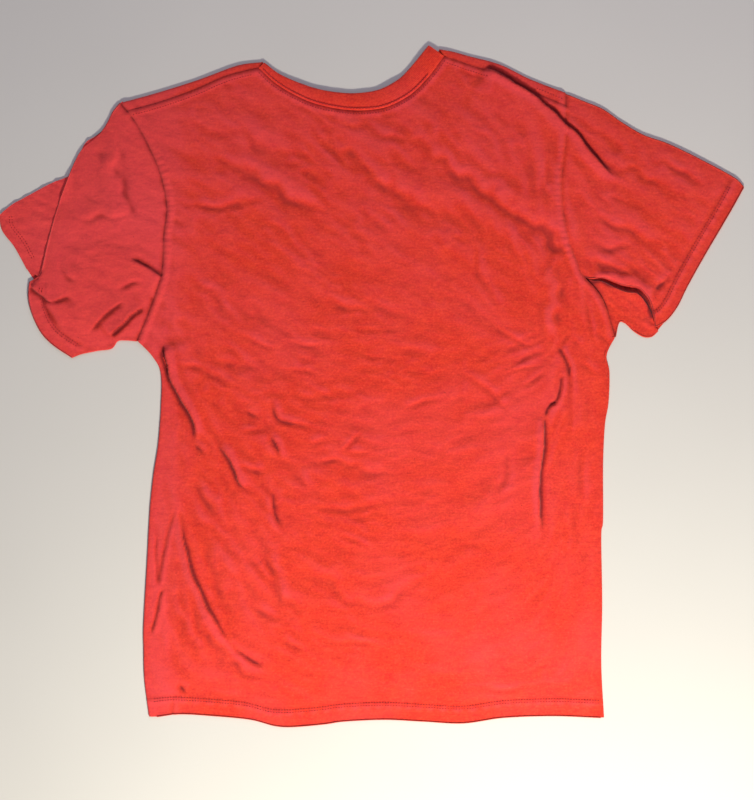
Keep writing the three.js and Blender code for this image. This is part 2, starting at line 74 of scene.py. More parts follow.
FRONT_NECK_SEAM = [(-121, 347), (-96, 300), (-62, 262), (-23, 246), (18, 256), (52, 298), (78, 360)]
FRONT_NECK_EDGE = [(-116, 353), (-86, 313), (-56, 281), (-23, 265), (10, 275), (38, 312), (63, 371)]

# Left sleeve: its upper layer has slid towards the hem, so it folds over the layer that shows beyond it.
LEFT_CUFF = [(-329, 31), (-350, 45), (-364, 60), (-374, 82), (-377, 100), (-376, 114)]
LEFT_FOLD = [(-376, 114), (-364, 124), (-357, 152), (-351, 176), (-344, 199), (-334, 226), (-326, 246),
             (-317, 261), (-300, 274)]
LEFT_TOP = [(-276, 311), (-284, 301), (-291, 287), (-300, 274)]
LEFT_BOTTOM = [(-258, 50), (-270, 51), (-280, 50), (-286, 42), (-298, 40), (-312, 38), (-329, 31)]
LEFT_BEYOND_TOP = [(-300, 274), (-314, 268), (-323, 250), (-333, 231), (-352, 223), (-378, 209), (-396, 199),
                   (-409, 188)]
LEFT_BEYOND_CUFF = [(-409, 188), (-406, 171), (-392, 152), (-379, 128), (-360, 100), (-342, 72), (-322, 44)]

# Right sleeve: spread, with the upper layer's lower edge lifted off the under layer.
RIGHT_CUFF = [(311, 65), (323, 72), (335, 87), (347, 111), (366, 145), (386, 179), (397, 198), (408, 218)]
RIGHT_TOP = [(213, 320), (235, 311), (254, 303), (274, 289), (298, 275), (326, 265), (365, 246), (398, 228),
             (408, 218)]
RIGHT_LIFTED = [(240, 118), (252, 119), (266, 114), (280, 110), (293, 108), (303, 97), (309, 82), (311, 65)]
LIFT_START = (233, 120)  # where the lifted edge leaves the armhole seam
RIGHT_BOTTOM = [(267, 54), (271, 70), (278, 70), (288, 61), (298, 55), (307, 55), (314, 61)]

# Sizes of cloth and sewing.
TOP_LOW = 3.0  # height of the upper layer at a folded edge
LOFT = 4.6  # how far the middle of the back rises over that
LOFT_RUN = 55.0
LOW_SHEET = 0.4
FOLD_RUN = 3.4  # plan width of a rounded fold
HEM_DEPTH = 20.0
CUFF_DEPTH = 17.0
RIB_DEPTH = 19.0
RIB_PITCH = 1.45
RIB_PLY = 0.75
TURN_IN = 14.0  # how far a pleat goes in before it comes back
WRINKLE_HEIGHT = 0.36  # scale of the seeded wrinkles
LEAST_HEIGHT, MOST_HEIGHT = 1.9, 17.0  # the upper layer stays between these
MIDDLE_LEVEL = 1.9  # height of a layer that lies between the low sheet and the upper layer
SEED = 20


# ---------------------------------------------------------------- curves and patches
def spline(points, n):
    """n + 1 points at even distances on a smooth curve through points."""
    p = np.array(points, float)
    ext = np.vstack([2 * p[0] - p[1], p, 2 * p[-1] - p[-2]])
    out = []
    t = np.linspace(0, 1, 24, endpoint=False)[:, None]
    for a, b, c, d in zip(ext[:-3], ext[1:-2], ext[2:-1], ext[3:]):
        square, cube = 2 * a - 5 * b + 4 * c - d, 3 * b - a - 3 * c + d
        out.append(0.5 * (2 * b + (c - a) * t + square * t**2 + cube * t**3))
    return even(np.vstack(out + [p[-1:]]), n)


def even(line, n):
    run = np.concatenate([[0], np.cumsum(np.linalg.norm(np.diff(line, axis=0), axis=1))])
    want = np.linspace(0, run[-1], n + 1)
    return np.stack([np.interp(want, run, line[:, k]) for k in range(line.shape[1])], 1)


def length(line):
    return float(np.linalg.norm(np.diff(line, axis=0), axis=1).sum())


def unit(v):
    return v / (np.linalg.norm(v, axis=-1, keepdims=True) + 1e-9)


def left_of(line):
    """Unit vectors to the left of a plan line's run."""
    d = unit(np.gradient(line, axis=0))
    return np.stack([-d[:, 1], d[:, 0]], 1)


def inset(line, distance, hand):
    """A plan line moved sideways, to the left of its run for hand 1."""
    return line + hand * distance * left_of(line)


def moved(points, dx, dy):
    return [(x + dx, y + dy) for x, y in points]


def chain(*parts):
    return np.vstack([parts[0]] + [p[1:] for p in parts[1:]])


def coons(low, high, left, right):
    """The patch between four edge curves; low and high run left to right, left and right run upwards."""
    u = np.linspace(0, 1, len(low))[None, :, None]
    v = np.linspace(0, 1, len(left))[:, None, None]
    sides = (1 - v) * low[None] + v * high[None] + (1 - u) * left[:, None] + u * right[:, None]
    corners = (1 - v) * ((1 - u) * low[0] + u * low[-1]) + v * ((1 - u) * high[0] + u * high[-1])
    return sides - corners


def smooth(x, a, b):
    t = np.clip((x - a) / (b - a), 0, 1)
    return t * t * (3 - 2 * t)


# ---------------------------------------------------------------- relief of the upper layer
CELL = 1.5
XS = np.arange(-432, 433, CELL)
YS = np.arange(-396, 397, CELL)
GX, GY = np.meshgrid(XS, YS)
SHIFT_X = np.zeros_like(GX)
SHIFT_Y = np.zeros_like(GX)


def between(field, i, j):
    """A field's value at column i and row j, which need not be whole."""
    i, j = np.clip(i, 0, field.shape[1] - 1.001), np.clip(j, 0, field.shape[0] - 1.001)
    i0, j0 = i.astype(int), j.astype(int)
    fi, fj = i - i0, j - j0
    a = field[j0, i0] * (1 - fi) + field[j0, i0 + 1] * fi
    b = field[j0 + 1, i0] * (1 - fi) + field[j0 + 1, i0 + 1] * fi
    return a * (1 - fj) + b * fj


def at(field, x, y):
    """A field's value at a place in plan."""
    return between(field, (np.asarray(x, float) - XS[0]) / CELL, (np.asarray(y, float) - YS[0]) / CELL)


def to_line(line, x, y):
    """Places against a polyline: the distance, the same across the nearest stretch (positive to the left
    of its run), the share of the way along, and the normal."""
    best = np.full(x.shape, 1e9)
    side = np.zeros(x.shape)
    share = np.zeros(x.shape)
    nx = np.zeros(x.shape)
    ny = np.zeros(x.shape)
    lens = np.linalg.norm(np.diff(line, axis=0), axis=1)
    run = np.concatenate([[0], np.cumsum(lens)])
    for k in range(len(line) - 1):
        a, d = line[k], line[k + 1] - line[k]
        t = np.clip(((x - a[0]) * d[0] + (y - a[1]) * d[1]) / (lens[k] ** 2 + 1e-9), 0, 1)
        qx, qy = x - a[0] - t * d[0], y - a[1] - t * d[1]
        dist = np.hypot(qx, qy)
        near = dist < best
        best = np.where(near, dist, best)
        cross = (d[0] * qy - d[1] * qx) / (lens[k] + 1e-9)
        side = np.where(near, cross, side)
        share = np.where(near, (run[k] + t * lens[k]) / run[-1], share)
        nx = np.where(near, -d[1] / (lens[k] + 1e-9), nx)
        ny = np.where(near, d[0] / (lens[k] + 1e-9), ny)
    return best, side, share, nx, ny


def window(line, reach):
    """The cells within reach of a line's box."""
    lo, hi = line.min(0) - reach, line.max(0) + reach
    i = slice(max(int((lo[0] - XS[0]) / CELL), 0), int((hi[0] - XS[0]) / CELL) + 2)
    j = slice(max(int((lo[1] - YS[0]) / CELL), 0), int((hi[1] - YS[0]) / CELL) + 2)
    return j, i


OUTLINE = chain(
    spline(HEM_EDGE, 40), spline(RIGHT_SIDE, 30), spline(RIGHT_BOTTOM, 10), spline(RIGHT_CUFF, 16),
    spline(RIGHT_TOP, 22)[::-1], spline(RIGHT_SHOULDER, 14)[::-1], spline(NECK_EDGE, 24)[::-1],
    spline(LEFT_SHOULDER, 14)[::-1], spline(LEFT_TOP, 6), spline(LEFT_FOLD, 16)[::-1],
    spline(LEFT_CUFF, 10)[::-1], spline(LEFT_BOTTOM, 8)[::-1], spline(LEFT_SIDE, 30)[::-1])
COARSE = 3  # the distance to the outline is worked out at every third cell and filled in between
edge_coarse = to_line(OUTLINE, GX[::COARSE, ::COARSE], GY[::COARSE, ::COARSE])[0]
EDGE_DISTANCE = between(edge_coarse, (GX - XS[0]) / (COARSE * CELL), (GY - YS[0]) / (COARSE * CELL))
BASE = TOP_LOW + LOFT * (1 - np.exp(-np.maximum(EDGE_DISTANCE - 1, 0) / LOFT_RUN))

# Which way the small wrinkles run (degrees from +X), and how high they are, at places over the shirt:
# x, y, angle, height of broad, middle and fine wrinkles.
WRINKLE_CUES = [
    (-190, 270, -20, 1.0, 0.40, 0.16), (-120, 240, -32, 1.3, 0.45, 0.14), (-30, 250, -38, 1.6, 0.40, 0.14),
    (60, 230, -38, 1.7, 0.40, 0.14), (130, 250, -42, 1.5, 0.45, 0.16), (190, 230, -85, 1.4, 0.50, 0.20),
    (-200, 150, -35, 1.2, 0.60, 0.26), (-120, 130, -38, 1.0, 0.55, 0.22), (-20, 130, -30, 0.9, 0.55, 0.22),
    (80, 120, -32, 0.9, 0.40, 0.16), (150, 120, -45, 1.2, 0.55, 0.20), (200, 120, -85, 1.4, 0.50, 0.20),
    (-210, 20, -60, 1.2, 0.70, 0.30), (-110, 10, -25, 1.0, 0.75, 0.34), (0, 10, -8, 0.8, 0.70, 0.34),
    (80, 0, 10, 0.8, 0.40, 0.20), (160, 10, 25, 1.2, 0.75, 0.34), (230, 0, 88, 1.0, 0.50, 0.24),
    (-220, -120, -75, 1.1, 0.55, 0.26), (-150, -110, -55, 1.1, 0.80, 0.34), (-50, -100, -18, 0.8, 0.75, 0.36),
    (50, -100, 0, 0.7, 0.36, 0.20), (140, -110, 20, 0.8, 0.34, 0.18), (225, -130, 88, 0.9, 0.45, 0.22),
    (-220, -260, -72, 1.2, 0.45, 0.20), (-150, -240, -52, 1.2, 0.60, 0.26), (-50, -220, -25, 0.9, 0.40, 0.20),
    (40, -220, 5, 0.8, 0.34, 0.18), (140, -230, 22, 0.7, 0.24, 0.14), (225, -260, 75, 0.6, 0.22, 0.12),
    (-150, -330, -15, 0.8, 0.26, 0.14), (0, -330, -3, 0.6, 0.22, 0.14), (150, -330, 4, 0.6, 0.20, 0.12),
    (-300, 240, -60, 0.8, 0.40, 0.20), (-310, 170, 10, 1.1, 0.60, 0.26), (-320, 100, -35, 1.2, 0.60, 0.26),
    (-290, 70, -50, 1.0, 0.60, 0.26), (250, 260, -40, 1.2, 0.45, 0.18), (310, 220, -38, 1.0, 0.45, 0.20),
    (360, 210, -40, 0.8, 0.40, 0.20), (280, 140, -30, 1.2, 0.55, 0.24), (330, 140, -35, 1.0, 0.50, 0.22),
]


def from_cues(values):
    """Values at the cues spread smoothly over the cells."""
    total = np.zeros_like(GX)
    weight = np.zeros_like(GX)
    for cue, value in zip(WRINKLE_CUES, values):
        w = 1 / ((GX - cue[0]) ** 2 + (GY - cue[1]) ** 2 + 25.0**2) ** 1.6
        total += w * value
        weight += w
    return total / weight


turns = np.radians([c[2] for c in WRINKLE_CUES])
DOUBLE = np.arctan2(from_cues(np.sin(2 * turns)), from_cues(np.cos(2 * turns)))
RUN_X, RUN_Y = np.cos(DOUBLE / 2), np.sin(DOUBLE / 2)
rng = np.random.default_rng(SEED)


def banded(wavelength, spread):
    """Seeded noise with features near one wavelength."""
    noise = np.fft.rfft2(rng.standard_normal(GX.shape))
    fy = np.fft.fftfreq(GX.shape[0], CELL)[:, None]
    fx = np.fft.rfftfreq(GX.shape[1], CELL)[None]
    f = np.hypot(fx, fy) * wavelength
    out = np.fft.irfft2(noise * np.exp(-((np.log(f + 1e-6)) ** 2) / (2 * spread**2)), GX.shape)
    return out / out.std()


def drawn_out(noise, run):
    """The noise smeared along the way that the wrinkles run."""
    total = noise.copy()
    step = 2.5
    for sign in (1, -1):
        x, y = GX.copy(), GY.copy()
        dx, dy = sign * RUN_X, sign * RUN_Y
        for k in range(int(run / step)):
            x, y = x + dx * step, y + dy * step
            nx, ny = at(RUN_X, x, y), at(RUN_Y, x, y)
            flip = np.where(nx * dx + ny * dy < 0, -1, 1)
            dx, dy = nx * flip, ny * flip
            w = 1 - (k + 1) * step / (run + step)
            total += w * at(noise, x, y)
    return total / total.std()


def ridges(n, sharp):
    """Narrow crests with broad, soft valleys between."""
    r = np.exp(-np.abs(n) * sharp)
    return r - r.mean()


broad = drawn_out(banded(52, 0.35), 44)
middle = drawn_out(banded(22, 0.4), 15)
longer = drawn_out(banded(30, 0.4), 24)
fine = drawn_out(banded(11, 0.4), 8)
MEANDER = 1.7  # how far the folds' lines wander from the curves below
MEANDER_X, MEANDER_Y = (MEANDER * banded(34, 0.3) for _ in range(2))
MEANDER_X += 0.25 * banded(13, 0.3)
MEANDER_Y += 0.25 * banded(13, 0.3)
crinkle = drawn_out(banded(7.5, 0.35), 7)
patchy = smooth(drawn_out(banded(90, 0.4), 20), -1.0, 1.4)
high, mid, low = (from_cues([c[k] for c in WRINKLE_CUES]) for k in (3, 4, 5))
SLACK = 0.3 + 0.7 * smooth(EDGE_DISTANCE, 2, 34)
RELIEF = high * (0.8 * broad + 1.92 * ridges(longer, 1.6) * patchy)
RELIEF += mid * (0.7 * middle + 1.9 * ridges(middle, 2.2) * (0.2 + patchy))
RELIEF += low * (0.6 * fine + 1.2 * ridges(fine, 2.0) * patchy)
RELIEF += low * 0.6 * ridges(crinkle, 2.4) * (0.3 + patchy)
RELIEF *= SLACK * WRINKLE_HEIGHT

# Folds, gaps and seams are painted darker. Along creases and under overlapping folds this is painted shade.
# At seams it is partly dye that pools there and partly painted shade. This field goes into the material with
# the cloth.
PAINTED_SHADE_AND_DYE = np.zeros_like(GX)


def beside(points, step, reach, wander=0.0):
    """The curve through points, the cells near it, and those cells' signed distance from it, distance past
    its ends, share of the way along, and normal."""
    line = spline(points, max(int(length(np.array(points, float)) / step), 4))
    cells = window(line, reach)
    x, y = GX[cells] + wander * MEANDER_X[cells], GY[cells] + wander * MEANDER_Y[cells]
    dist, side, share, nx, ny = to_line(line, x, y)
    return line, cells, np.sign(side + 1e-9) * dist, np.maximum(dist - np.abs(side), 0), share, nx, ny


def crease(points, width, depth, lip=0.0, lean=0.0, ends=(0.42, 0.42), lip_width=None):
    """A valley along points with a raised lip on the left of its run (on the right for a negative lip).
    lean pushes that lip sideways over the valley."""
    width = width * 0.82
    lip_width = lip_width or width * 2.0
    wander = float(np.clip((width - 1.4) / 4.0, 0.12, 1.0))  # narrow creases run straighter than wide ones
    _, cells, off, beyond, share, nx, ny = beside(points, 5, 4 * lip_width + 3 * width, wander)
    taper = smooth(share, 0, ends[0]) if ends[0] else np.ones_like(share)
    taper = taper * (smooth(1 - share, 0, ends[1]) if ends[1] else 1)
    width = width * (0.6 + 0.4 * taper)
    taper = taper * np.exp(-beyond / width)
    hand = np.sign(lip) if lip else 1
    profile = -depth * np.exp(-((off / width) ** 2))
    raised = np.exp(-(((off * hand - lip_width * 0.9) / lip_width) ** 2))
    profile += 0.62 * abs(lip) * raised * smooth(off * hand, -0.4 * width, 0.8 * width)
    RELIEF[cells] += profile * taper
    # Painted shade along the bottom of narrow, deep creases.
    if depth > 1.25 and width.max() < 3.3:
        shade = 0.3 * depth * np.exp(-(((off - 0.3 * hand * width) / (0.5 * width + 0.5)) ** 2)) * taper
        PAINTED_SHADE_AND_DYE[cells] = np.maximum(PAINTED_SHADE_AND_DYE[cells], np.minimum(shade, 0.85))
    push = -hand * lean * np.exp(-(((off * hand - width * 0.7) / (width * 1.4)) ** 2)) * taper
    SHIFT_X[cells] += push * nx
    SHIFT_Y[cells] += push * ny


def overlap(points, height, reach, hand=1, lean=2.2, dip=0.8, ends=(0.1, 0.25)):
    """A fold that lies over its neighbour: high on one side of points and sharply down to the other.
    Its edge is set back, so that it lands on points once lean has pushed it sideways."""
    _, cells, off, beyond, share, nx, ny = beside(points, 4, 3.2 * reach + 10, 0.25)
    off = off * hand - (0.92 * lean - 0.6)
    taper = smooth(share, -0.001, ends[0]) * smooth(1 - share, -0.001, ends[1])
    past = np.exp(-beyond / 2.5)
    raised = smooth(off, -1.0, 1.2) * np.exp(-np.maximum(off, 0) / reach) * height
    low = -dip * np.exp(-(((off + 2.4) / 2.2) ** 2))
    RELIEF[cells] += (raised + low) * taper * past
    # Painted shadow: a dark band in the gap under the fold's overhanging edge.
    breadth = 0.9 + 0.15 * height
    shade = np.exp(-(((off + 0.92 * lean + 0.3) / breadth) ** 2)) * smooth(taper, 0, 0.7) * past
    PAINTED_SHADE_AND_DYE[cells] = np.maximum(PAINTED_SHADE_AND_DYE[cells], shade)
    push = -hand * lean * smooth(off, -1.2, 0.6) * np.exp(-np.maximum(off, 0) / 7.0) * taper * past
    SHIFT_X[cells] += push * nx
    SHIFT_Y[cells] += push * ny


def bump(points, width, height, ends=(0.3, 0.3)):
    """A raised ridge along points."""
    crease(points, width, -height, ends=ends)


# Each crease: points, width, depth, and where they aren't crease's own values: lip, lean, ends, lip width.
CREASES = [
    # Left side: the tuck under the arm and the long crease above the hem corner.
    ([(-238, 40), (-228, 30), (-222, 10)], 3.0, 1.8, 1.2),
    ([(-197, -62), (-190, -68), (-181, -75)], 2.4, 2.0, 1.6, 1.0),
    ([(-115, -6), (-109, -16), (-105, -35), (-88, -42), (-62, -45)], 3.0, 1.6, 1.8, 0.6),
    ([(-117, -46), (-107, -61), (-100, -84)], 2.8, 2.0, 1.9, 0.8),
    ([(-109, -108), (-107, -137), (-94, -163)], 3.0, 1.5, -1.5, 0.4),
    ([(-160, -277), (-138, -297), (-111, -312)], 3.2, 1.7, -1.2),
    ([(-214, -128), (-220, -148), (-225.5, -169), (-235, -220)], 1.7, 1.4, 0.9, 0, (0.3, 0.1)),
    ([(-230, -222), (-236, -248), (-242.5, -274)], 1.7, 1.9, 1.0, 0.4, (0.1, 0.15)),
    ([(-239, -148), (-238, -169), (-236, -220)], 1.7, 1.3, -0.8, 0, (0.4, 0.1)),
    ([(-186, -150), (-176, -196), (-158, -232), (-136, -262)], 8.0, 1.1, 1.2),
    ([(-130, -140), (-120, -180), (-104, -214), (-80, -244)], 9.0, 1.1, 0.8),
    ([(-219, -341), (-219, -362)], 1.6, 1.0, 0.9, 0, (0.1, 0.0)),
    ([(-214, -326), (-208, -333), (-203, -338)], 4.0, 1.6, 0.8),
    # Small crumples between those folds.
    ([(-221, 27), (-202, 21), (-176, 11), (-154, 0)], 4.4, 1.4, 1.3),
    ([(-179, 30), (-154, 23), (-120, 18)], 5.0, 1.2, 1.2),
    ([(-143, -23), (-132, -31), (-120, -35)], 2.4, 1.3, 1.1),
    ([(-146, -48), (-130, -50), (-114, -49)], 3.2, 1.3, 1.2),
    ([(-152, -86), (-134, -94), (-112, -96)], 5.0, 1.4, 1.3),
    ([(-92, -88), (-80, -101), (-68, -112)], 4.6, 1.1, 1.1),
    ([(-70, -65), (-56, -62), (-40, -63)], 4.0, 1.0, 1.0),
    ([(-60, -81), (-48, -82), (-34, -79)], 3.4, 1.2, 1.0),
    ([(-28, -73), (-12, -74), (2, -72)], 2.6, 1.0, 0.8),
    ([(-200, -96), (-179, -129), (-154, -163)], 5.0, 1.3, 1.4),
    ([(-212, -118), (-186, -150), (-148, -183), (-116, -204)], 6.0, 0.9, 1.1),
    ([(-140, -168), (-110, -202), (-96, -244)], 5.0, 1.1, 1.2),
    ([(-224, -230), (-213, -255), (-201, -276), (-182, -309)], 4.4, 0.9, 0.9),
    ([(-170, 44), (-150, 36), (-134, 22)], 4.0, 1.1, 1.0),
    ([(-96, 52), (-70, 44), (-50, 48)], 3.6, 1.0, 0.9),
    ([(-88, -8), (-60, -14), (-36, -10)], 4.4, 1.0, 1.0),
    # Middle of the body.
    ([(-103, 19), (-80, 17), (-56, 14)], 2.4, 1.1, 1.0),
    ([(-14, 35), (2, 31), (18, 32)], 2.2, 1.0, 0.9),
    ([(-36, -76), (-22, -62), (-9, -48)], 2.4, 1.2, 1.0),
    ([(-40, -160), (-24, -167), (-11, -173), (2, -182)], 2.4, 1.1, 1.0),
    ([(-82, -190), (-66, -204), (-50, -215), (-23, -235), (11, -242), (33, -226), (60, -210),
     (90, -188)], 7.0, 0.9, 1.2, 0.2, (0.4, 0.4), 10),
    ([(-160, -292), (-150, -304), (-141, -315), (-115, -321)], 3.2, 0.8, 0.8),
    ([(-107, -272), (-88, -284), (-69, -296)], 3.4, 1.0, 1.0),
    ([(-136, -240), (-112, -252), (-94, -256)], 4.2, 1.0, 1.0),
    ([(-52, -281), (-20, -281), (0, -283), (13, -291)], 2.8, 1.0, 0.9),
    ([(-150, -160), (-128, -196), (-100, -232), (-66, -262)], 6.0, 1.1, 1.2),
    ([(-206, -210), (-186, -262), (-158, -304), (-124, -334)], 8.0, 0.7, 0.8),
    ([(118, -333), (145, -334), (172, -331)], 2.6, 1.0, 1.0),
    ([(-60, -60), (-30, -86), (10, -96), (44, -92)], 5.0, 1.0, 0.9),
    ([(-80, -128), (-40, -136), (6, -130), (30, -120)], 4.0, 0.9, 0.9),
    ([(30, -30), (52, -18), (80, -16)], 3.4, 1.0, 0.9),
    ([(-30, 66), (2, 60), (40, 64)], 3.2, 0.9, 0.8),
    ([(-150, 60), (-118, 44), (-92, 40)], 3.6, 1.1, 1.0),
    ([(-60, 100), (-20, 84), (24, 88)], 3.6, 0.9, 0.8),
    # Upper back: soft diagonals that run down to the right.
    ([(-74, 296), (-36, 258), (9, 223), (44, 201), (97, 170)], 12.0, 2.3, 2.4, 0, (0.4, 0.4), 20),
    ([(24, 292), (60, 256), (109, 221), (162, 183), (189, 168), (207, 150),
     (222, 140)], 11.0, 2.4, 2.8, 0.4, (0.4, 0.1), 18),
    ([(-50, 292), (-5, 282), (14, 273), (44, 271)], 6.0, 1.0, 0.9, 0, (0.3, 0.3), 9),
    ([(-191, 253), (-152, 239), (-117, 223), (-84, 201), (-34, 188)], 10.0, 1.9, 1.8, 0, (0.4, 0.4), 16),
    ([(-211, 206), (-191, 196), (-162, 196), (-133, 203), (-113, 201)], 5.0, 1.4, 1.2, 0.4),
    ([(-213, 128), (-191, 113), (-162, 86), (-146, 64)], 6.0, 1.4, 1.2, 0.3),
    ([(60, 280), (100, 250), (140, 228), (170, 215)], 10.0, 1.3, 1.0),
    ([(-160, 290), (-120, 262), (-80, 240)], 10.0, 1.1, 0.9),
    ([(190, 272), (193, 240), (190, 208), (196, 176)], 9.0, 1.1, 1.4),
    ([(172, 262), (176, 232), (178, 206)], 9.0, 0.8, 1.0),
    ([(111, 168), (117, 122), (132, 99), (148, 70)], 4.0, 0.9, 0.9),
    # Right side: the pressed ridge, the star where the folds meet, and the lines running out of it.
    ([(204, 44), (210, 33), (216, 21), (217.5, 8)], 2.0, 2.9, 1.6, 0.9, (0.15, 0.3)),
    ([(216, 24), (217.5, 4), (217.5, -30), (217, -76)], 1.8, 1.2, 0.9, 0.2, (0.1, 0.5)),
    ([(209, 14), (206, -5), (202, -17), (194, -23), (190, -35)], 1.8, 2.8, 1.2, 0.9, (0.12, 0.12)),
    ([(191, -18), (199, -19), (207, -19)], 1.8, 1.5, 0.9),
    ([(82, 26), (99, 14), (120, 0), (146, -24), (164, -36)], 3.6, 0.9, 1.0, 0.2),
    ([(130, 12), (148, 20), (168, 31), (192, 40)], 2.6, 1.1, 1.1, 0.4, (0.4, 0.15)),
    ([(134, 8), (156, 17), (178, 21), (198, 24)], 2.2, 0.9, 1.0),
    ([(158, -5), (177, 6), (196, 22)], 2.6, 1.3, 1.1),
    ([(205, 43), (212, 52), (217, 60)], 2.4, 1.1, 0.9),
    ([(230, 108), (237, 80), (241, 58), (246, 38)], 2.0, 1.5, 1.2, 0.3),
    ([(243, 68), (250, 56), (261, 47)], 2.2, 1.1, 0.9),
    ([(216, 56), (224, 48), (232, 41)], 2.0, 0.9, 0.7),
    ([(118, 82), (135, 65), (164, 46), (190, 37)], 3.4, 0.9, 1.0),
    ([(224, 30), (236, 18), (250, 10)], 4.0, 0.7, 0.7),
    ([(232, -60), (228, -100), (230, -140)], 4.0, 1.0, 0.9),
    ([(96, 70), (97, 10), (97, -70)], 2.4, 0.3, 0.25),
    ([(150, -60), (146, -100), (130, -130)], 4.0, 0.9, 0.8),
    # Left sleeve.
    ([(-277, 280), (-276, 256), (-274, 226), (-270, 204), (-256, 181)], 10.0, 1.9, -2.6, 0.6, (0.4, 0.2), 14),
    ([(-336, 200), (-326, 188), (-312, 182), (-298, 184), (-284, 185), (-272, 188),
     (-258, 182)], 4.4, 1.2, 1.6, 0.4, (0.35, 0.25), 9),
    ([(-300, 268), (-296, 252), (-302, 240)], 9.0, 1.5, 1.2),
    ([(-371, 104), (-362, 90), (-350, 76), (-338, 60)], 5.0, 1.4, 0.8),
    ([(-283, 104), (-264, 111), (-247, 115)], 3.0, 1.3, 1.3),
    ([(-330, 150), (-312, 142), (-292, 146)], 4.6, 1.2, 1.0),
    ([(-345, 140), (-336, 120), (-318, 112)], 4.4, 1.4, 1.2),
    # Right sleeve.
    ([(226, 136), (250, 134), (274, 127), (296, 124)], 7.0, 0.8, 1.2, 0, (0.3, 0.3), 9),
    ([(254, 246), (290, 232), (330, 214)], 7.0, 1.1, 1.0),
    ([(232, 196), (262, 178), (300, 160), (332, 150)], 8.0, 1.5, 1.4),
    ([(300, 250), (338, 234), (368, 214)], 7.0, 1.0, 0.9),
    ([(304, 98), (316, 112), (334, 124)], 4.0, 1.4, 1.2),
    ([(236, 160), (262, 152), (290, 150)], 5.0, 1.2, 1.1),
]
# Each fold that lies over its neighbour: points, height, reach, hand, lean, dip, ends.
OVERLAPS = [
    # Left side: the tuck under the arm and the long crease above the hem corner.
    ([(-231, 46), (-228, 34), (-222, 8), (-211, -14), (-200, -33), (-196, -46),
     (-195, -66)], 4.6, 15, 1, 3.0, 1.4),
    ([(-172, -60), (-158, -78), (-152, -91), (-145, -107), (-131, -118)], 3.0, 11, 1, 1.8, 1.2, (0.3, 0.3)),
    ([(-212, -128), (-209, -158), (-200, -194), (-190, -221), (-175, -251), (-160, -277),
     (-146, -294)], 3.4, 10, -1, 2.2, 1.6, (0.35, 0.35)),
    # Right side: the pressed ridge, the star where the folds meet, and the lines running out of it.
    ([(189, -30), (188.5, -56), (188, -76), (184, -101), (184, -132), (186, -172)], 3.0, 10, -1, 2.0, 1.8,
     (0.12, 0.35)),
    # Right shoulder: the pleat's overlapping edge from the seam to the sleeve's top.
    ([(122, 352), (128, 349), (151, 337), (175, 321), (199, 301), (223, 279), (237, 261), (253, 243),
     (272, 227)], 4.6, 20, -1, 3.2, 1.6, (0.06, 0.2)),
    # Left sleeve.
    ([(-270, 142), (-250, 132), (-229, 119)], 2.4, 9, -1, 1.6, 1.0, (0.35, 0.1)),
    ([(-287, 54), (-279, 62), (-266, 73), (-250, 87)], 4.0, 10, 1, 3.0, 2.2, (0.12, 0.2)),
    ([(-313, 56), (-300, 70), (-287, 84), (-268, 95)], 2.6, 12, 1, 1.6, 1.2, (0.3, 0.3)),
    ([(-374, 108), (-362, 99), (-352, 93), (-328, 98)], 3.4, 14, 1, 2.2, 1.4, (0.02, 0.4)),
]
# Each ridge: points, width, height, ends.
RIDGES = [
    # Right side: the pressed ridge, the star where the folds meet, and the lines running out of it.
    ([(200, 142), (198, 110), (197, 78), (199, 44)], 9.0, 2.4),
    # Left sleeve.
    ([(-345, 196), (-340, 216), (-330, 240)], 8.0, 1.6),
    ([(-372, 116), (-362, 140), (-354, 170)], 8.0, 1.4),
    # Right sleeve.
    ([(236, 122), (262, 120), (284, 114), (300, 102), (306, 84)], 9.0, 3.6, (0.3, 0.3)),
]
for shape, facts in ((crease, CREASES), (overlap, OVERLAPS), (bump, RIDGES)):
    for row in facts:
        shape(*row)


def seam_line(points, groove, ridge, hand, pucker, pitch, span=(0.0, 1.0)):
    """A seam: a groove, the ridge of its allowance on one side, and small puckers across that ridge."""
    line, cells, off, beyond, share, _, _ = beside(points, 5, 22)
    off = off * hand
    profile = -groove * np.exp(-((off / 1.7) ** 2)) + ridge * smooth(off, 0.4, 2.4) * smooth(-off, -9.0, -5.5)
    ripple = np.sin(share * length(line) / pitch * 2 * math.pi + 2.2 * np.sin(share * 23))
    within = smooth(share, span[0], span[0] + 0.08) * smooth(-share, -span[1], -span[1] + 0.08)
    profile += pucker * ripple * np.exp(-(((off - 4.5) / 4.5) ** 2)) * within
    RELIEF[cells] += profile * np.exp(-beyond / 2)


seam_line(LEFT_ARMHOLE, 1.2, 0.9, -1, 0.5, 6.2, (0.3, 0.8))
seam_line(RIGHT_ARMHOLE, 0.9, 0.8, 1, 0.5, 6.2, (0.3, 0.85))
seam_line(LEFT_SHOULDER_SEAM, 0.9, 0.8, -1, 0.3, 8)
seam_line(RIGHT_SHOULDER_SEAM, 0.9, 0.8, -1, 0.3, 8)
seam_line(NECK_SEAM, 1.0, 0.7, -1, 0.22, 9)
seam_line(moved(HEM_EDGE, 0, HEM_DEPTH), 0.55, 0.45, -1, 0.3, 13)


def paint_dark_line(line, width, strength):
    """A darker line. Along a seam it is partly dye that pools there and partly painted shade. Under the
    sleeve's lifted edge it is painted shadow.
    """
    cells = window(line, 8)
    dist = to_line(line, GX[cells], GY[cells])[0]
    PAINTED_SHADE_AND_DYE[cells] = np.maximum(PAINTED_SHADE_AND_DYE[cells], strength * np.exp(-((dist / width) ** 2)))


seam_line(inset(spline(LEFT_CUFF, 12), CUFF_DEPTH, -1), 0.9, 0.5, 1, 0.3, 9)
seam_line(inset(spline(RIGHT_CUFF, 20), CUFF_DEPTH, 1), 0.9, 0.5, -1, 0.3, 10)
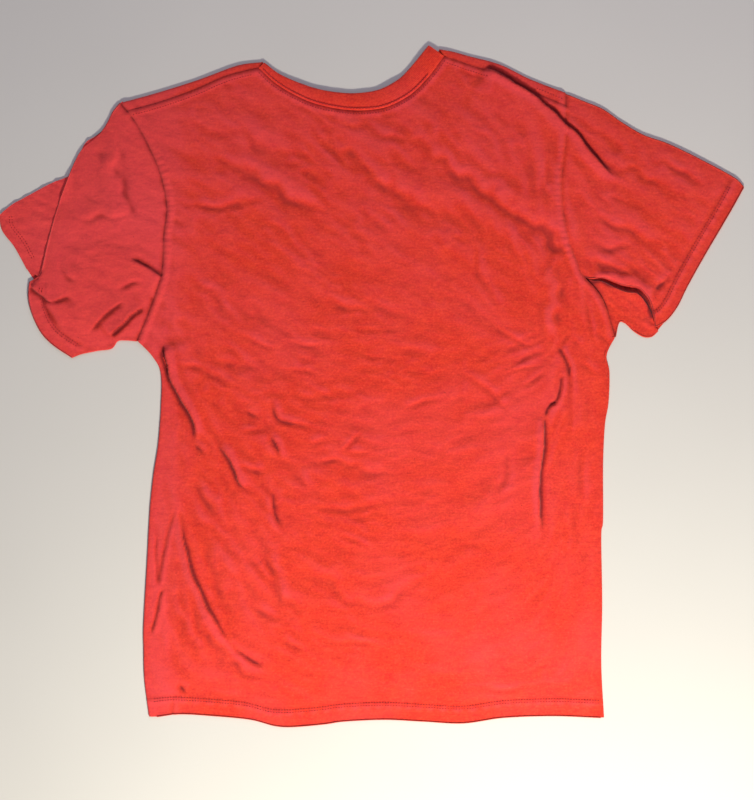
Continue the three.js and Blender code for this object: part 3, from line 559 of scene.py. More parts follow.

# Darker lines along seams, hem and cuffs: partly dye that pools in seams, partly painted shade in their
# grooves.
for points in (LEFT_ARMHOLE, LEFT_SHOULDER_SEAM, RIGHT_SHOULDER_SEAM, NECK_SEAM):
    paint_dark_line(spline(points, 60), 1.1, 0.55)
paint_dark_line(spline(RIGHT_ARMHOLE, 60), 1.1, 0.25)
paint_dark_line(spline(RIGHT_ARMHOLE[:3], 20), 1.1, 0.45)
# Painted shadow in the slit under the right sleeve's lifted edge.
paint_dark_line(inset(spline([LIFT_START, *RIGHT_LIFTED], 80)[6:-8], 3.6, -1), 2.6, 1.3)
paint_dark_line(spline(moved(HEM_EDGE, 0, HEM_DEPTH - 3), 60), 1.6, 0.12)
paint_dark_line(inset(spline(LEFT_CUFF, 30), CUFF_DEPTH - 2.4, -1), 2.0, 0.45)
paint_dark_line(inset(spline(RIGHT_CUFF, 40), CUFF_DEPTH - 2.4, 1), 2.0, 0.45)
HEIGHT = np.minimum(np.maximum(BASE + RELIEF, LEAST_HEIGHT + 0.15 * RELIEF), MOST_HEIGHT)
SHIFT_FADE = smooth(EDGE_DISTANCE, 1, 8)
SHIFT_X *= SHIFT_FADE
SHIFT_Y *= SHIFT_FADE


def blurred(field, radius):
    f = np.fft.rfft2(field)
    fy = np.fft.fftfreq(field.shape[0], CELL)[:, None]
    fx = np.fft.rfftfreq(field.shape[1], CELL)[None]
    return np.fft.irfft2(f * np.exp(-2 * (math.pi * radius) ** 2 * (fx**2 + fy**2)), field.shape)


BENT = blurred(HEIGHT, 2.0) - blurred(HEIGHT, 5.0)
# The left sleeve, the left side and the shoulders turn lighter and pinker than the middle of the back. This
# is partly faded cloth and partly a painted tint of the cool fill light that falls more on the top.
FADE_AND_FILL_TINT = 0.7 * smooth(-GX, 150, 300) * smooth(GY, 10, 110)
FADE_AND_FILL_TINT += 0.8 * smooth(-GX, 195, 235) + 0.35 * smooth(GY, 60, 300)
# Painted highlight: raised bends lighten towards faded pink, partly wear on the ridges, with the painted tint
# above added in.
RIDGE_WEAR_AND_HIGHLIGHT = np.clip(BENT / 0.55 + FADE_AND_FILL_TINT, 0, 1)
# Painted shade: concave bends darken as if in shade, added to the painted shade and seam dye above.
CREASE_SHADE_AND_DYE = np.clip(np.clip(-BENT / 0.7, 0, 0.8) + PAINTED_SHADE_AND_DYE, 0, 1)


def top(x, y):
    """The upper layer over plan places: moved plan place and height."""
    return np.stack([x + at(SHIFT_X, x, y), y + at(SHIFT_Y, x, y), at(HEIGHT, x, y)], -1)


# ---------------------------------------------------------------- meshes
def placed(name, me):
    ob = bpy.data.objects.new(name, me)
    bpy.context.collection.objects.link(ob)
    return ob


def mesh_piece(name, blocks):
    """One welded mesh from grids of points. Each block is (points, plan for its cloth coordinates)."""
    co, faces, uv = [], [], []
    base = 0
    for points, flat in blocks:
        n, m = points.shape[:2]
        co.append(points.reshape(-1, 3))
        uv.append(flat.reshape(-1, 2))
        index = np.arange(n * m).reshape(n, m) + base
        quads = np.stack([index[:-1, :-1], index[:-1, 1:], index[1:, 1:], index[1:, :-1]], -1)
        faces.append(quads.reshape(-1, 4))
        base += n * m
    co, uv, faces = np.vstack(co) * MM, np.vstack(uv) * MM, np.vstack(faces)
    key = np.round(co / WELD).astype(np.int64)
    _, first, inverse = np.unique(key, axis=0, return_index=True, return_inverse=True)
    co, uv, faces = co[first], uv[first], inverse.reshape(-1)[faces]
    faces = faces[[len(set(f)) == 4 for f in faces.tolist()]]
    me = bpy.data.meshes.new(name)
    me.vertices.add(len(co))
    me.vertices.foreach_set("co", co.astype(np.float32).ravel())
    me.loops.add(faces.size)
    me.loops.foreach_set("vertex_index", faces.astype(np.int32).ravel())
    me.polygons.add(len(faces))
    me.polygons.foreach_set("loop_start", np.arange(0, faces.size, 4, dtype=np.int32))
    me.polygons.foreach_set("loop_total", np.full(len(faces), 4, np.int32))
    me.update(calc_edges=True)
    me.validate()
    me.polygons.foreach_set("use_smooth", np.ones(len(me.polygons), bool))
    layer = me.uv_layers.new(name="cloth")
    loops = np.zeros(len(me.loops), np.int32)
    me.loops.foreach_get("vertex_index", loops)
    layer.data.foreach_set("uv", uv[loops].astype(np.float32).ravel())
    return placed(name, me)


def mark(ob):
    """Vertex attributes: raised bends made lighter, partly wear and partly painted highlight, and folds, gaps
    and seams made darker, painted shade with some seam dye.
    """
    co = np.zeros(len(ob.data.vertices) * 3, np.float32)
    ob.data.vertices.foreach_get("co", co)
    co = co.reshape(-1, 3) / MM
    for label, field in (("ridge_wear_and_highlight", RIDGE_WEAR_AND_HIGHLIGHT), ("crease_shade_and_dye", CREASE_SHADE_AND_DYE)):
        attribute = ob.data.attributes.new(label, "FLOAT", "POINT")
        attribute.data.foreach_set("value", at(field, co[:, 0], co[:, 1]).astype(np.float32))


def with_z(line, z):
    return np.concatenate([line, np.broadcast_to(z, line.shape[:-1])[..., None]], -1)


def wrap(outer, inner, seam, n):
    """Rows from the low sheet at the inner line, round the outer line and back over it to the seam on top."""
    a = np.linspace(-math.pi / 2, math.pi / 2, n + 1)[:, None]
    high = at(HEIGHT, inner[:, 0], inner[:, 1])
    z = LOW_SHEET + (high - LOW_SHEET) * (np.sin(a) + 1) / 2
    rows = with_z(inner + (outer - inner) * np.cos(a)[..., None], z)
    share = np.linspace(0, 1, 5)[1:, None, None]
    plan = inner * (1 - share) + seam * share
    return np.concatenate([rows, top(plan[..., 0], plan[..., 1])])


def block(points):
    """A block whose cloth coordinates are its own plan."""
    return points, points[..., :2]


# ---- back
COLS, SIDE_ROWS, ARM_ROWS = 256, 236, 140
SHOULDER_COLS_L, NECK_COLS = 76, 104
SHOULDER_COLS_R = COLS - SHOULDER_COLS_L - NECK_COLS
LEFT_WRAP, RIGHT_WRAP = 9.0, 4.0  # the front's cloth comes round this far over each side

left_side = spline(LEFT_SIDE, SIDE_ROWS)
right_side = spline(RIGHT_SIDE, SIDE_ROWS)
wrap_end = smooth(1 - np.linspace(0, 1, SIDE_ROWS + 1), 0.0, 0.16)
left_seam = left_side.copy()
left_seam[:, 0] += LEFT_WRAP * wrap_end
right_seam = right_side.copy()
right_seam[:, 0] -= RIGHT_WRAP * wrap_end
left_arm = spline([*LEFT_ARMHOLE[:-1], LEFT_SHOULDER_SEAM[0]], ARM_ROWS)
right_arm = spline([*RIGHT_ARMHOLE[:-1], RIGHT_SHOULDER_SEAM[-1]], ARM_ROWS)
left_shoulder_seam = spline(LEFT_SHOULDER_SEAM, SHOULDER_COLS_L)
right_shoulder_seam = spline(RIGHT_SHOULDER_SEAM, SHOULDER_COLS_R)
neck_seam = spline(NECK_SEAM, NECK_COLS)
back_top = chain(left_shoulder_seam, neck_seam, right_shoulder_seam)
hem_edge = spline(HEM_EDGE, COLS)
hem_edge[:, 0] = hem_edge[0, 0] + LEFT_WRAP + (hem_edge[:, 0] - hem_edge[0, 0]) * (
    1 - (LEFT_WRAP + RIGHT_WRAP) / (hem_edge[-1, 0] - hem_edge[0, 0]))
back_plan = coons(hem_edge, back_top, chain(left_seam, left_arm), chain(right_seam, right_arm))
back_points = top(back_plan[..., 0], back_plan[..., 1])


def turned(edge, edge_z, into, depth, up=False, n=5):
    """Rows that turn an edge in: round it and back along the inside of the cloth."""
    drop = 1.5 if up else -1.5
    inward = unit(into)
    rows = []
    for k in range(n + 1):
        a = math.pi * k / n
        rows.append(with_z(edge - inward * 0.75 * math.sin(a), edge_z + drop * (1 - math.cos(a)) / 2))
    for share in (0.3, 0.65, 1.0):
        rows.append(with_z(edge + inward * depth * share, edge_z + drop))
    return np.array(rows)


hem_turn = turned(back_points[0, :, :2], back_points[0, :, 2], back_plan[6] - back_plan[0], HEM_DEPTH)
back_cloth = mesh_piece("back_cloth", [(back_points, back_plan), block(hem_turn)])
mark(back_cloth)

# ---- front: the low sheet, the wraps round both sides, and the rolls over both shoulders
F_COLS = 120
F_LEFT_COLS, F_NECK_COLS = 36, 48
front_neck = [LEFT_SHOULDER[-1], *FRONT_NECK_SEAM[1:-1], RIGHT_SHOULDER[0]]
front_top = chain(spline(LEFT_SHOULDER, F_LEFT_COLS), spline(front_neck, F_NECK_COLS),
                  spline(RIGHT_SHOULDER, F_COLS - F_LEFT_COLS - F_NECK_COLS))
front_hem = spline(moved(HEM_EDGE, 0, 1.2), F_COLS)
left_in, right_in = left_side.copy(), right_side.copy()
left_in[:, 0] += FOLD_RUN
right_in[:, 0] -= FOLD_RUN
front_hem[:, 0] = left_in[0, 0] + (front_hem[:, 0] - front_hem[0, 0]) * (right_in[0, 0] - left_in[0, 0]) / (
    front_hem[-1, 0] - front_hem[0, 0])
front_hem[0], front_hem[-1] = left_in[0], right_in[0]
front_left = chain(left_in, spline([left_in[-1], *LEFT_ARMHOLE[1:]], ARM_ROWS))
front_right = chain(right_in, spline([right_in[-1], *RIGHT_ARMHOLE[1:-1], RIGHT_SHOULDER[-1]], ARM_ROWS))
front_plan = coons(front_hem, front_top, front_left, front_right)
front_points = with_z(front_plan, LOW_SHEET)


def shoulder_roll(outer, seam):
    """Rows from the low sheet round the shoulder's fold to the shoulder seam."""
    return wrap(outer, outer + unit(seam - outer) * FOLD_RUN, seam, 8)


left_roll = shoulder_roll(spline(LEFT_SHOULDER, SHOULDER_COLS_L), left_shoulder_seam)
right_roll = shoulder_roll(spline(RIGHT_SHOULDER, SHOULDER_COLS_R), right_shoulder_seam)
front_turn = turned(front_plan[0], front_points[0, :, 2], front_plan[6] - front_plan[0], HEM_DEPTH, up=True)
front_blocks = [
    (front_points, front_plan),
    block(wrap(left_side, left_in, left_seam, 10)),
    block(wrap(right_side, right_in, right_seam, 10)),
    block(left_roll),
    block(right_roll),
    block(front_turn),
]
front_cloth = mesh_piece("front_cloth", front_blocks)
mark(front_cloth)


# ---------------------------------------------------------------- sleeves
def bridge(low_line, high_line, hand, bulge=1.1, n=8):
    """Rows round a folded edge, from a line on the low sheet to one on the layer above, bulging sideways."""
    out = hand * left_of((low_line[:, :2] + high_line[:, :2]) / 2)
    rows = []
    for a in np.linspace(-math.pi / 2, math.pi / 2, n + 1):
        p = low_line + (high_line - low_line) * (math.sin(a) + 1) / 2
        p[:, :2] += out * bulge * math.cos(a)
        rows.append(p)
    return np.array(rows)


def middle_z(plan):
    """Height of a layer that lies between the low sheet and the upper layer."""
    x, y = plan[..., 0], plan[..., 1]
    return MIDDLE_LEVEL + 0.21 * at(fine, x, y) + 0.18 * at(middle, x, y)


def pleat(edge, inward, return_line_z, depth, n=6):
    """From a folded edge of the upper layer, round and under, to the line where it comes back."""
    plan, z = edge[:, :2], edge[:, 2]
    drop = 1.3
    rows = []
    for a in np.linspace(0, math.pi, n + 1):
        rows.append(with_z(plan - inward * math.sin(a), z - drop * (1 - math.cos(a)) / 2))
    for s in (0.35, 0.7, 1.0):
        rows.append(with_z(plan + inward * depth * s, (z - drop) * (1 - s) + return_line_z * s))
    return np.array(rows)


def cuff_turn(edge, plan, depth, up=False):
    """The turned-in end of a sleeve, from its last column."""
    return turned(edge[:, :2], edge[:, 2], plan[:, -8] - plan[:, -1], depth, up)


def tucked(upper, plan, arm_line, hand):
    """The sleeve's upper layer with a first column that goes in under the armhole seam."""
    tuck = inset(arm_line, 2.5, hand)
    tuck_points = with_z(tuck, at(HEIGHT, tuck[:, 0], tuck[:, 1]) - 1.2)
    return np.concatenate([tuck_points[:, None], upper], 1), np.concatenate([tuck[:, None], plan], 1)


ACROSS = np.linspace(0, 1, 31)[:, None, None]  # shares across the layers that lie between

# left
L_ROWS, L_CUFF_ROWS, L_COLS = 140, 50, 60
L_FOLD_ROWS = L_ROWS - L_CUFF_ROWS
left_arm_line = spline(LEFT_ARMHOLE, L_ROWS)
left_outer = chain(spline(LEFT_CUFF, L_CUFF_ROWS), spline(LEFT_FOLD, L_FOLD_ROWS))
left_plan = coons(spline(LEFT_BOTTOM, L_COLS), spline(LEFT_TOP, L_COLS), left_arm_line, left_outer)
left_upper, left_plan = tucked(top(left_plan[..., 0], left_plan[..., 1]), left_plan, left_arm_line, -1)
fold_edge = left_upper[L_CUFF_ROWS:, -1]
fold_in = unit(left_upper[L_CUFF_ROWS:, -8, :2] - fold_edge[:, :2])
BEYOND_ROWS = 32
beyond_top = spline(LEFT_BEYOND_TOP[::-1], L_FOLD_ROWS - BEYOND_ROWS)
beyond = chain(spline(LEFT_BEYOND_CUFF[3::-1], BEYOND_ROWS), beyond_top)
left_pleat = pleat(fold_edge, fold_in, MIDDLE_LEVEL, TURN_IN)
beyond_plan = left_pleat[-1, :, :2] * (1 - ACROSS) + beyond * ACROSS
left_beyond = with_z(beyond_plan, middle_z(beyond_plan))
under_bottom = spline([*LEFT_BOTTOM[:-1], LEFT_BEYOND_CUFF[-1]], L_COLS)
under_outer = chain(spline(LEFT_BEYOND_CUFF[::-1], L_ROWS // 2), spline(LEFT_BEYOND_TOP[::-1], L_ROWS // 2))
left_under_plan = coons(under_bottom, spline(LEFT_TOP, L_COLS), left_arm_line, under_outer)
left_under = with_z(left_under_plan, LOW_SHEET)
left_blocks = [
    (left_upper, left_plan),
    block(left_pleat),
    (left_beyond, beyond_plan),
    (left_under, left_under_plan),
    block(bridge(left_under[0], left_upper[0, 1:], 1)),
    block(bridge(left_under[-1], left_upper[-1, 1:], -1)),
    block(bridge(with_z(beyond_top, LOW_SHEET), left_beyond[-1, BEYOND_ROWS:], -1)),
    block(cuff_turn(left_upper[:L_CUFF_ROWS + 1, -1], left_plan[:L_CUFF_ROWS + 1], CUFF_DEPTH)),
]
beyond_cuff = left_beyond[-1, :BEYOND_ROWS + 1]
beyond_in = left_beyond[-5, :BEYOND_ROWS + 1, :2] - beyond_cuff[:, :2]
rows = turned(beyond_cuff[:, :2], beyond_cuff[:, 2], beyond_in, CUFF_DEPTH - 3)
rows[..., 2] = np.maximum(rows[..., 2], LOW_SHEET + 0.3)
left_blocks.append(block(rows))
left_sleeve_cloth = mesh_piece("left_sleeve_cloth", left_blocks)
mark(left_sleeve_cloth)

# right: the slit under the lifted edge shows the layer below, with the underarm seam across it
R_ROWS, R_COLS = 130, 96
SLIT_WIDTH = 8.0
UNDERARM_SEAM_X = 285.5
right_arm_line = spline([LIFT_START, *RIGHT_ARMHOLE[3:]], R_ROWS)
right_lift = spline([LIFT_START, *RIGHT_LIFTED], R_COLS)
right_plan = coons(right_lift, spline(RIGHT_TOP, R_COLS), right_arm_line, spline(RIGHT_CUFF, R_ROWS))
right_upper, right_plan = tucked(top(right_plan[..., 0], right_plan[..., 1]), right_plan, right_arm_line, 1)
lift_edge = right_upper[0, 1:]
lift_in = unit(right_plan[8, 1:] - right_plan[0, 1:])
right_pleat = pleat(lift_edge, lift_in, 2.0, 9.0)
slit = np.sin(np.linspace(0, 1, R_COLS + 1) ** 0.9 * math.pi)[:, None] ** 0.8
peek_top = lift_edge[:, :2] - lift_in * (slit * SLIT_WIDTH - 0.6)
peek_plan = peek_top * (1 - ACROSS) + spline(RIGHT_BOTTOM, R_COLS) * ACROSS
peek_rise = np.exp(-((ACROSS[..., 0] / 0.16) ** 2)) * slit[:, 0] * 3.0
peek_seam = np.exp(-(((peek_plan[..., 0] - UNDERARM_SEAM_X) / 1.6) ** 2)) * 0.9
right_peek = with_z(peek_plan, middle_z(peek_plan) + peek_rise - peek_seam)
peek_hidden = np.array([with_z(right_peek[0, :, :2] + lift_in * 5.0 * s, right_peek[0, :, 2] * (1 - s) + s)
                        for s in (0, 0.4, 1.0)])
right_under_plan = coons(
    spline(RIGHT_BOTTOM, R_COLS), spline(RIGHT_TOP, R_COLS), spline(RIGHT_ARMHOLE, R_ROWS),
    spline([RIGHT_BOTTOM[-1], *RIGHT_CUFF[1:]], R_ROWS))
right_under = with_z(right_under_plan, LOW_SHEET)
right_sleeve_cloth = mesh_piece("right_sleeve_cloth", [
    (right_upper, right_plan),
    block(right_pleat),
    (right_peek, peek_plan),
    block(peek_hidden),
    (right_under, right_under_plan),
    block(bridge(right_under[-1], right_upper[-1, 1:], 1)),
    block(bridge(right_under[0], right_peek[-1], -1)),
    block(cuff_turn(right_upper[:, -1], right_plan, CUFF_DEPTH)),
    block(cuff_turn(right_under[12:, -1], right_under_plan[12:], CUFF_DEPTH, up=True)),
])
mark(right_sleeve_cloth)

# ---------------------------------------------------------------- neck rib
RIB_LOW = 1.2
RIB_WAYS = 12  # half the rows of faces round the folded band


def rib_band():
    """The folded double band of 1x1 rib round the whole neckline."""
    back_out, back_in = spline(NECK_SEAM, 900), spline(NECK_EDGE, 900)
    front_out, front_in = spline(FRONT_NECK_SEAM, 1200)[::-1], spline(FRONT_NECK_EDGE, 1200)[::-1]
    high = at(HEIGHT, back_out[:, 0], back_out[:, 1])
    high = np.convolve(np.pad(high, 20, "edge"), np.ones(41) / 41, "valid") + 0.5
    outs, ins, zs = [back_out], [back_in], [high]
    a = np.linspace(0, 1, 28)[1:-1]
    side_way = unit(np.array([[1.0, 0.35]]))
    push = np.sin(a * math.pi)[:, None] * 1.2
    outs.append(back_out[-1] * (1 - a[:, None]) + front_out[0] * a[:, None] + side_way * push)
    ins.append(back_in[-1] * (1 - a[:, None]) + front_in[0] * a[:, None] + side_way * push)
    zs.append(high[-1] + (RIB_LOW - high[-1]) * (1 - np.cos(a * math.pi)) / 2)
    outs.append(front_out)
    ins.append(front_in)
    zs.append(np.full(len(front_out), RIB_LOW))
    side_way = unit(np.array([[-1.0, -0.2]]))
    outs.append(front_out[-1] * (1 - a[:, None]) + back_out[0] * a[:, None] + side_way * push)
    ins.append(front_in[-1] * (1 - a[:, None]) + back_in[0] * a[:, None] + side_way * push)
    zs.append(RIB_LOW + (high[0] - RIB_LOW) * (1 - np.cos(a * math.pi)) / 2)
    out, inn, z = np.vstack(outs), np.vstack(ins), np.concatenate(zs)
    out, inn, z = (np.concatenate([k, k[:1]]) for k in (out, inn, z))
    mid = (out + inn) / 2
    run = np.concatenate([[0], np.cumsum(np.hypot(np.linalg.norm(np.diff(mid, axis=0), axis=1), np.diff(z)))])
    count = int(run[-1] / RIB_PITCH) * 6
    want = np.linspace(0, run[-1], count + 1)
    out = np.stack([np.interp(want, run, out[:, k]) for k in (0, 1)], 1)
    inn = np.stack([np.interp(want, run, inn[:, k]) for k in (0, 1)], 1)
    z = np.interp(want, run, z)
    slope = np.gradient(z) / (want[1] - want[0])
    upright = np.cos(np.clip(np.arctan(slope), -1.5, 1.5))
    wale = np.sin(want / RIB_PITCH * 2 * math.pi)
    rows, flats = [], []
    for k in range(2 * RIB_WAYS + 1):
        angle = k / (2 * RIB_WAYS) * 2 * math.pi
        across = (1 - math.cos(angle)) / 2
        steep = abs(math.sin(angle))
        lift = math.sin(angle) / max(steep, 0.35) * RIB_PLY * min(1.0, steep * 3)
        crown = 0.9 * math.sin(across * math.pi)
        corrugation = 0.17 * wale * (1 if lift >= 0 else -1) * min(1, steep * 4)
        p = out * (1 - across) + inn * across
        dip = -0.8 * across if lift >= 0 else -0.6 * across
        level = np.clip((z - RIB_LOW) / 2.5, 0, 1)
        rows.append(with_z(p, z + (lift + corrugation) * upright + (crown + dip) * level))
        flats.append(np.stack([want, np.full(count + 1, across * RIB_DEPTH)], 1))
    return np.array(rows), np.array(flats)


rib_rows, rib_flat = rib_band()
rib_rows[..., 2] = np.maximum(rib_rows[..., 2], 0.35)
neck_rib_band = mesh_piece("neck_rib_band", [(rib_rows, rib_flat)])


# ---------------------------------------------------------------- thin pieces inside and threads
OVERLOCK_PITCH = 2.6
# Stitches of each kind: pitch, length, slant in radians, thickness.
HEM_STITCH = (3.0, 2.3, 0.0, 0.46)
RIB_STITCH = (1.7, 2.6, 0.62, 0.48)
NECK_STITCH = (3.0, 2.1, 0.0, 0.48)
CUFF_STITCH = (3.0, 2.2, 0.0, 0.45)
SHOULDER_STITCH = (3.0, 2.1, 0.0, 0.44)


def ribbon(name, line, width, z):
    """A flat strip along a plan line, with its overlocked edge as small waves."""
    line = even(line, max(int(length(line) / 0.9), 20))
    n = left_of(line)
    ripple = np.sin(np.linspace(0, length(line), len(line)) / OVERLOCK_PITCH * 2 * math.pi)
    rows = []
    for s in np.linspace(-0.5, 0.5, 7):
        p = line + n * width * s + n * (0.36 * ripple * s)[:, None]
        rows.append(with_z(p, z + 0.25 * ripple * abs(s)))
    return mesh_piece(name, [block(np.array(rows))])


def stitches(name, kind, rows):
    """Separate stitches along rows. A row is a plan line and what gives its height at a place."""
    ring, cuts = 6, 5
    pitch, long, slant, thick = kind
    vertices, faces = [], []
    for line, z_of in rows:
        count = max(int(length(line) / pitch), 2)
        p = even(line, count)
        d = unit(np.gradient(p, axis=0))
        for k in range(count + 1):
            turn = slant * (1 if k % 2 else -1)
            c, s = math.cos(turn), math.sin(turn)
            ax = np.array([d[k][0] * c - d[k][1] * s, d[k][0] * s + d[k][1] * c])
            side = np.array([-ax[1], ax[0]])
            start = len(vertices)
            for i in range(cuts):
                t = -1 + 2 * i / (cuts - 1)
                r = thick * math.sqrt(max(1 - t * t * 0.92, 0.05))
                spot = p[k] + ax * t * long / 2
                z = z_of(spot[0], spot[1]) + 0.12 - 0.35 * t * t
                for j in range(ring):
                    a = 2 * math.pi * j / ring
                    q = spot + side * r * math.cos(a)
                    vertices.append((q[0], q[1], z + r * math.sin(a)))
            for i in range(cuts - 1):
                for j in range(ring):
                    a0, a1 = start + i * ring + j, start + i * ring + (j + 1) % ring
                    faces.append((a0, a0 + ring, a1 + ring, a1))
            faces.append(tuple(start + j for j in range(ring)))
            faces.append(tuple(start + (cuts - 1) * ring + j for j in reversed(range(ring))))
    me = bpy.data.meshes.new(name)
    me.from_pydata([(x * MM, y * MM, z * MM) for x, y, z in vertices], [], faces)
    me.validate()
    me.shade_smooth()
    return placed(name, me)


def z_top(x, y):
    return float(at(HEIGHT, x, y))


def on_top(line):
    """Where a plan line of the upper layer lies after the folds' sideways moves."""
    return line + np.stack([at(SHIFT_X, line[:, 0], line[:, 1]), at(SHIFT_Y, line[:, 0], line[:, 1])], 1)


hem_threads = stitches("hem_stitches", HEM_STITCH, [
    (spline(moved(HEM_EDGE, 0, HEM_DEPTH - step), 300)[4:-4], z_top) for step in (1.5, 4.4)])

neck_line = spline(NECK_SEAM, 300)
rib_row = rib_rows[5, :int(rib_rows.shape[1] * 0.47)]  # along the back neck, near the seam


def z_rib(x, y):
    return float(rib_row[int(np.argmin((rib_row[:, 0] - x) ** 2 + (rib_row[:, 1] - y) ** 2)), 2]) + 0.1


neck_threads_rib = stitches("neck_stitches_on_rib", RIB_STITCH, [(inset(neck_line, 2.4, 1)[6:-6], z_rib)])
neck_threads_body = stitches("neck_stitches_on_back", NECK_STITCH, [(inset(neck_line, 4.0, -1)[6:-6], z_top)])


def z_beyond(x, y):
    return float(middle_z(np.array([x, y])))


ROW_STEPS = (0, 2.8)  # twin needles
left_cuff_rows = [inset(spline(LEFT_CUFF, 60), CUFF_DEPTH - 1 - step, -1)[2:-3] for step in ROW_STEPS]
beyond_rows = [inset(spline(LEFT_BEYOND_CUFF[:4], 60), CUFF_DEPTH - 4 - step, 1)[3:-8] for step in ROW_STEPS]
right_cuff_rows = [inset(spline(RIGHT_CUFF, 90), CUFF_DEPTH - 1 - step, 1)[3:-4] for step in ROW_STEPS]
left_threads = stitches("left_cuff_stitches", CUFF_STITCH, [
    *((on_top(line), z_top) for line in left_cuff_rows), *((line, z_beyond) for line in beyond_rows)])
right_threads = stitches("right_cuff_stitches", CUFF_STITCH, [
    (on_top(line), z_top) for line in right_cuff_rows])
shoulder_threads = stitches("shoulder_topstitches", SHOULDER_STITCH, [
    (inset(spline(LEFT_SHOULDER_SEAM, 120), 6.5, -1)[5:-8], z_top),
    (inset(spline(RIGHT_SHOULDER_SEAM, 120), 6.5, -1)[5:44], z_top),  # up to the pleat
    (inset(spline(RIGHT_SHOULDER_SEAM, 120), 5.0, 1)[90:-6], z_top)])  # beyond it

tape = ribbon("neck_tape_strip", inset(spline(NECK_SEAM, 200), 3.5, -1)[20:-20], 10, 2.0)
# Each seam's allowance: its line, how far in and on which side, points left off at both ends, width, height.
ALLOWANCES = {
    "left_side": (left_seam, 3.5, -1, 3, 3, 6, 1.6),
    "right_side": (right_seam, 3.5, 1, 3, 3, 6, 1.6),
    "left_shoulder": (spline(LEFT_SHOULDER_SEAM, 80), 4, -1, 4, 4, 6, 1.8),
    "right_shoulder": (spline(RIGHT_SHOULDER_SEAM, 80), 4, -1, 4, 4, 6, 1.8),
    "left_armhole": (spline(LEFT_ARMHOLE, 100), 4, -1, 5, 5, 6, 1.6),
    "right_armhole": (spline(RIGHT_ARMHOLE, 100), 4, 1, 5, 5, 6, 1.6),
    "left_underarm": (spline(LEFT_BOTTOM, 60), 4.5, -1, 14, 14, 5, 1.2),
    "right_underarm": (spline(RIGHT_BOTTOM, 60), 4.5, 1, 12, 14, 5, 1.2),
}
strips = {seam: ribbon(f"{seam}_allowance", inset(line, inside, hand)[first:-last], width, z)
          for seam, (line, inside, hand, first, last, width, z) in ALLOWANCES.items()}
body_strips = [strip for seam, strip in strips.items() if "underarm" not in seam]
cloths = (back_cloth, front_cloth, left_sleeve_cloth, right_sleeve_cloth)
threads = (hem_threads, neck_threads_rib, neck_threads_body, left_threads, right_threads, shoulder_threads)


# ---------------------------------------------------------------- materials
def linear(r, g, b):
    """A linear RGBA colour from 0 to 255 sRGB, none of them near 0."""
    return tuple(((c / 255 + 0.055) / 1.055) ** 2.4 for c in (r, g, b)) + (1.0,)


CORAL = linear(247, 72, 43)
CORAL_DARK = linear(208, 36, 30)
# Lighter pink for faded patches, for painted highlight on ridges and for the painted fill-light tint.
CORAL_FADED_AND_LIT = linear(236, 78, 92)
# Dark maroon for painted shade in folds and gaps, for seam dye and for small dark specks.
CORAL_SHADE_AND_SPECK = linear(112, 14, 24)
# Painted shade: the thread is darker than the coral cloth, standing in for the shadow the stitches cast.
THREAD_COLOUR_SHADED = linear(186, 40, 46)


class Nodes:
    """Short calls for making a material's nodes."""

    def __init__(self, name):
        self.material = bpy.data.materials.new(name)
        self.material.use_nodes = True
        self.tree = self.material.node_tree
        self.tree.nodes.clear()

    def make(self, kind, inputs=None, **settings):
        node = self.tree.nodes.new(kind)
        for key, value in settings.items():
            setattr(node, key, value)
        for key, value in (inputs or {}).items():
            if isinstance(value, bpy.types.NodeSocket):
                self.tree.links.new(value, node.inputs[key])
            else:
                node.inputs[key].default_value = value
        return node

    def math(self, operation, a, b=0.0, c=0.0):
        return self.make("ShaderNodeMath", {0: a, 1: b, 2: c}, operation=operation).outputs[0]

    def noise(self, vector, scale, detail=3.0, rough=0.6):
        return self.make("ShaderNodeTexNoise", {"Vector": vector, "Scale": scale, "Detail": detail,
                                                "Roughness": rough}).outputs[0]

    def scaled(self, vector, x, y, z=1.0):
        return self.make("ShaderNodeMapping", {"Vector": vector, "Scale": (x, y, z)}).outputs[0]

    def range(self, value, a, b, c=0.0, d=1.0):
        return self.make("ShaderNodeMapRange", {0: value, 1: a, 2: b, 3: c, 4: d}).outputs[0]

    def blend(self, factor, a, b):
        return self.make("ShaderNodeMix", {0: factor, 6: a, 7: b}, data_type="RGBA").outputs[2]

    def bump(self, height, distance, strength=1.0, normal=None):
        inputs = {"Height": height, "Distance": distance, "Strength": strength}
        if normal is not None:
            inputs["Normal"] = normal
        return self.make("ShaderNodeBump", inputs).outputs[0]

    def finished(self, **inputs):
        """The material, with one principled shader."""
        named = {key.replace("_", " "): value for key, value in inputs.items()}
        shader = self.make("ShaderNodeBsdfPrincipled", named)
        self.tree.links.new(shader.outputs[0], self.make("ShaderNodeOutputMaterial").inputs[0])
        return self.material


WALE = 0.0009  # metres from one column of loops to the next


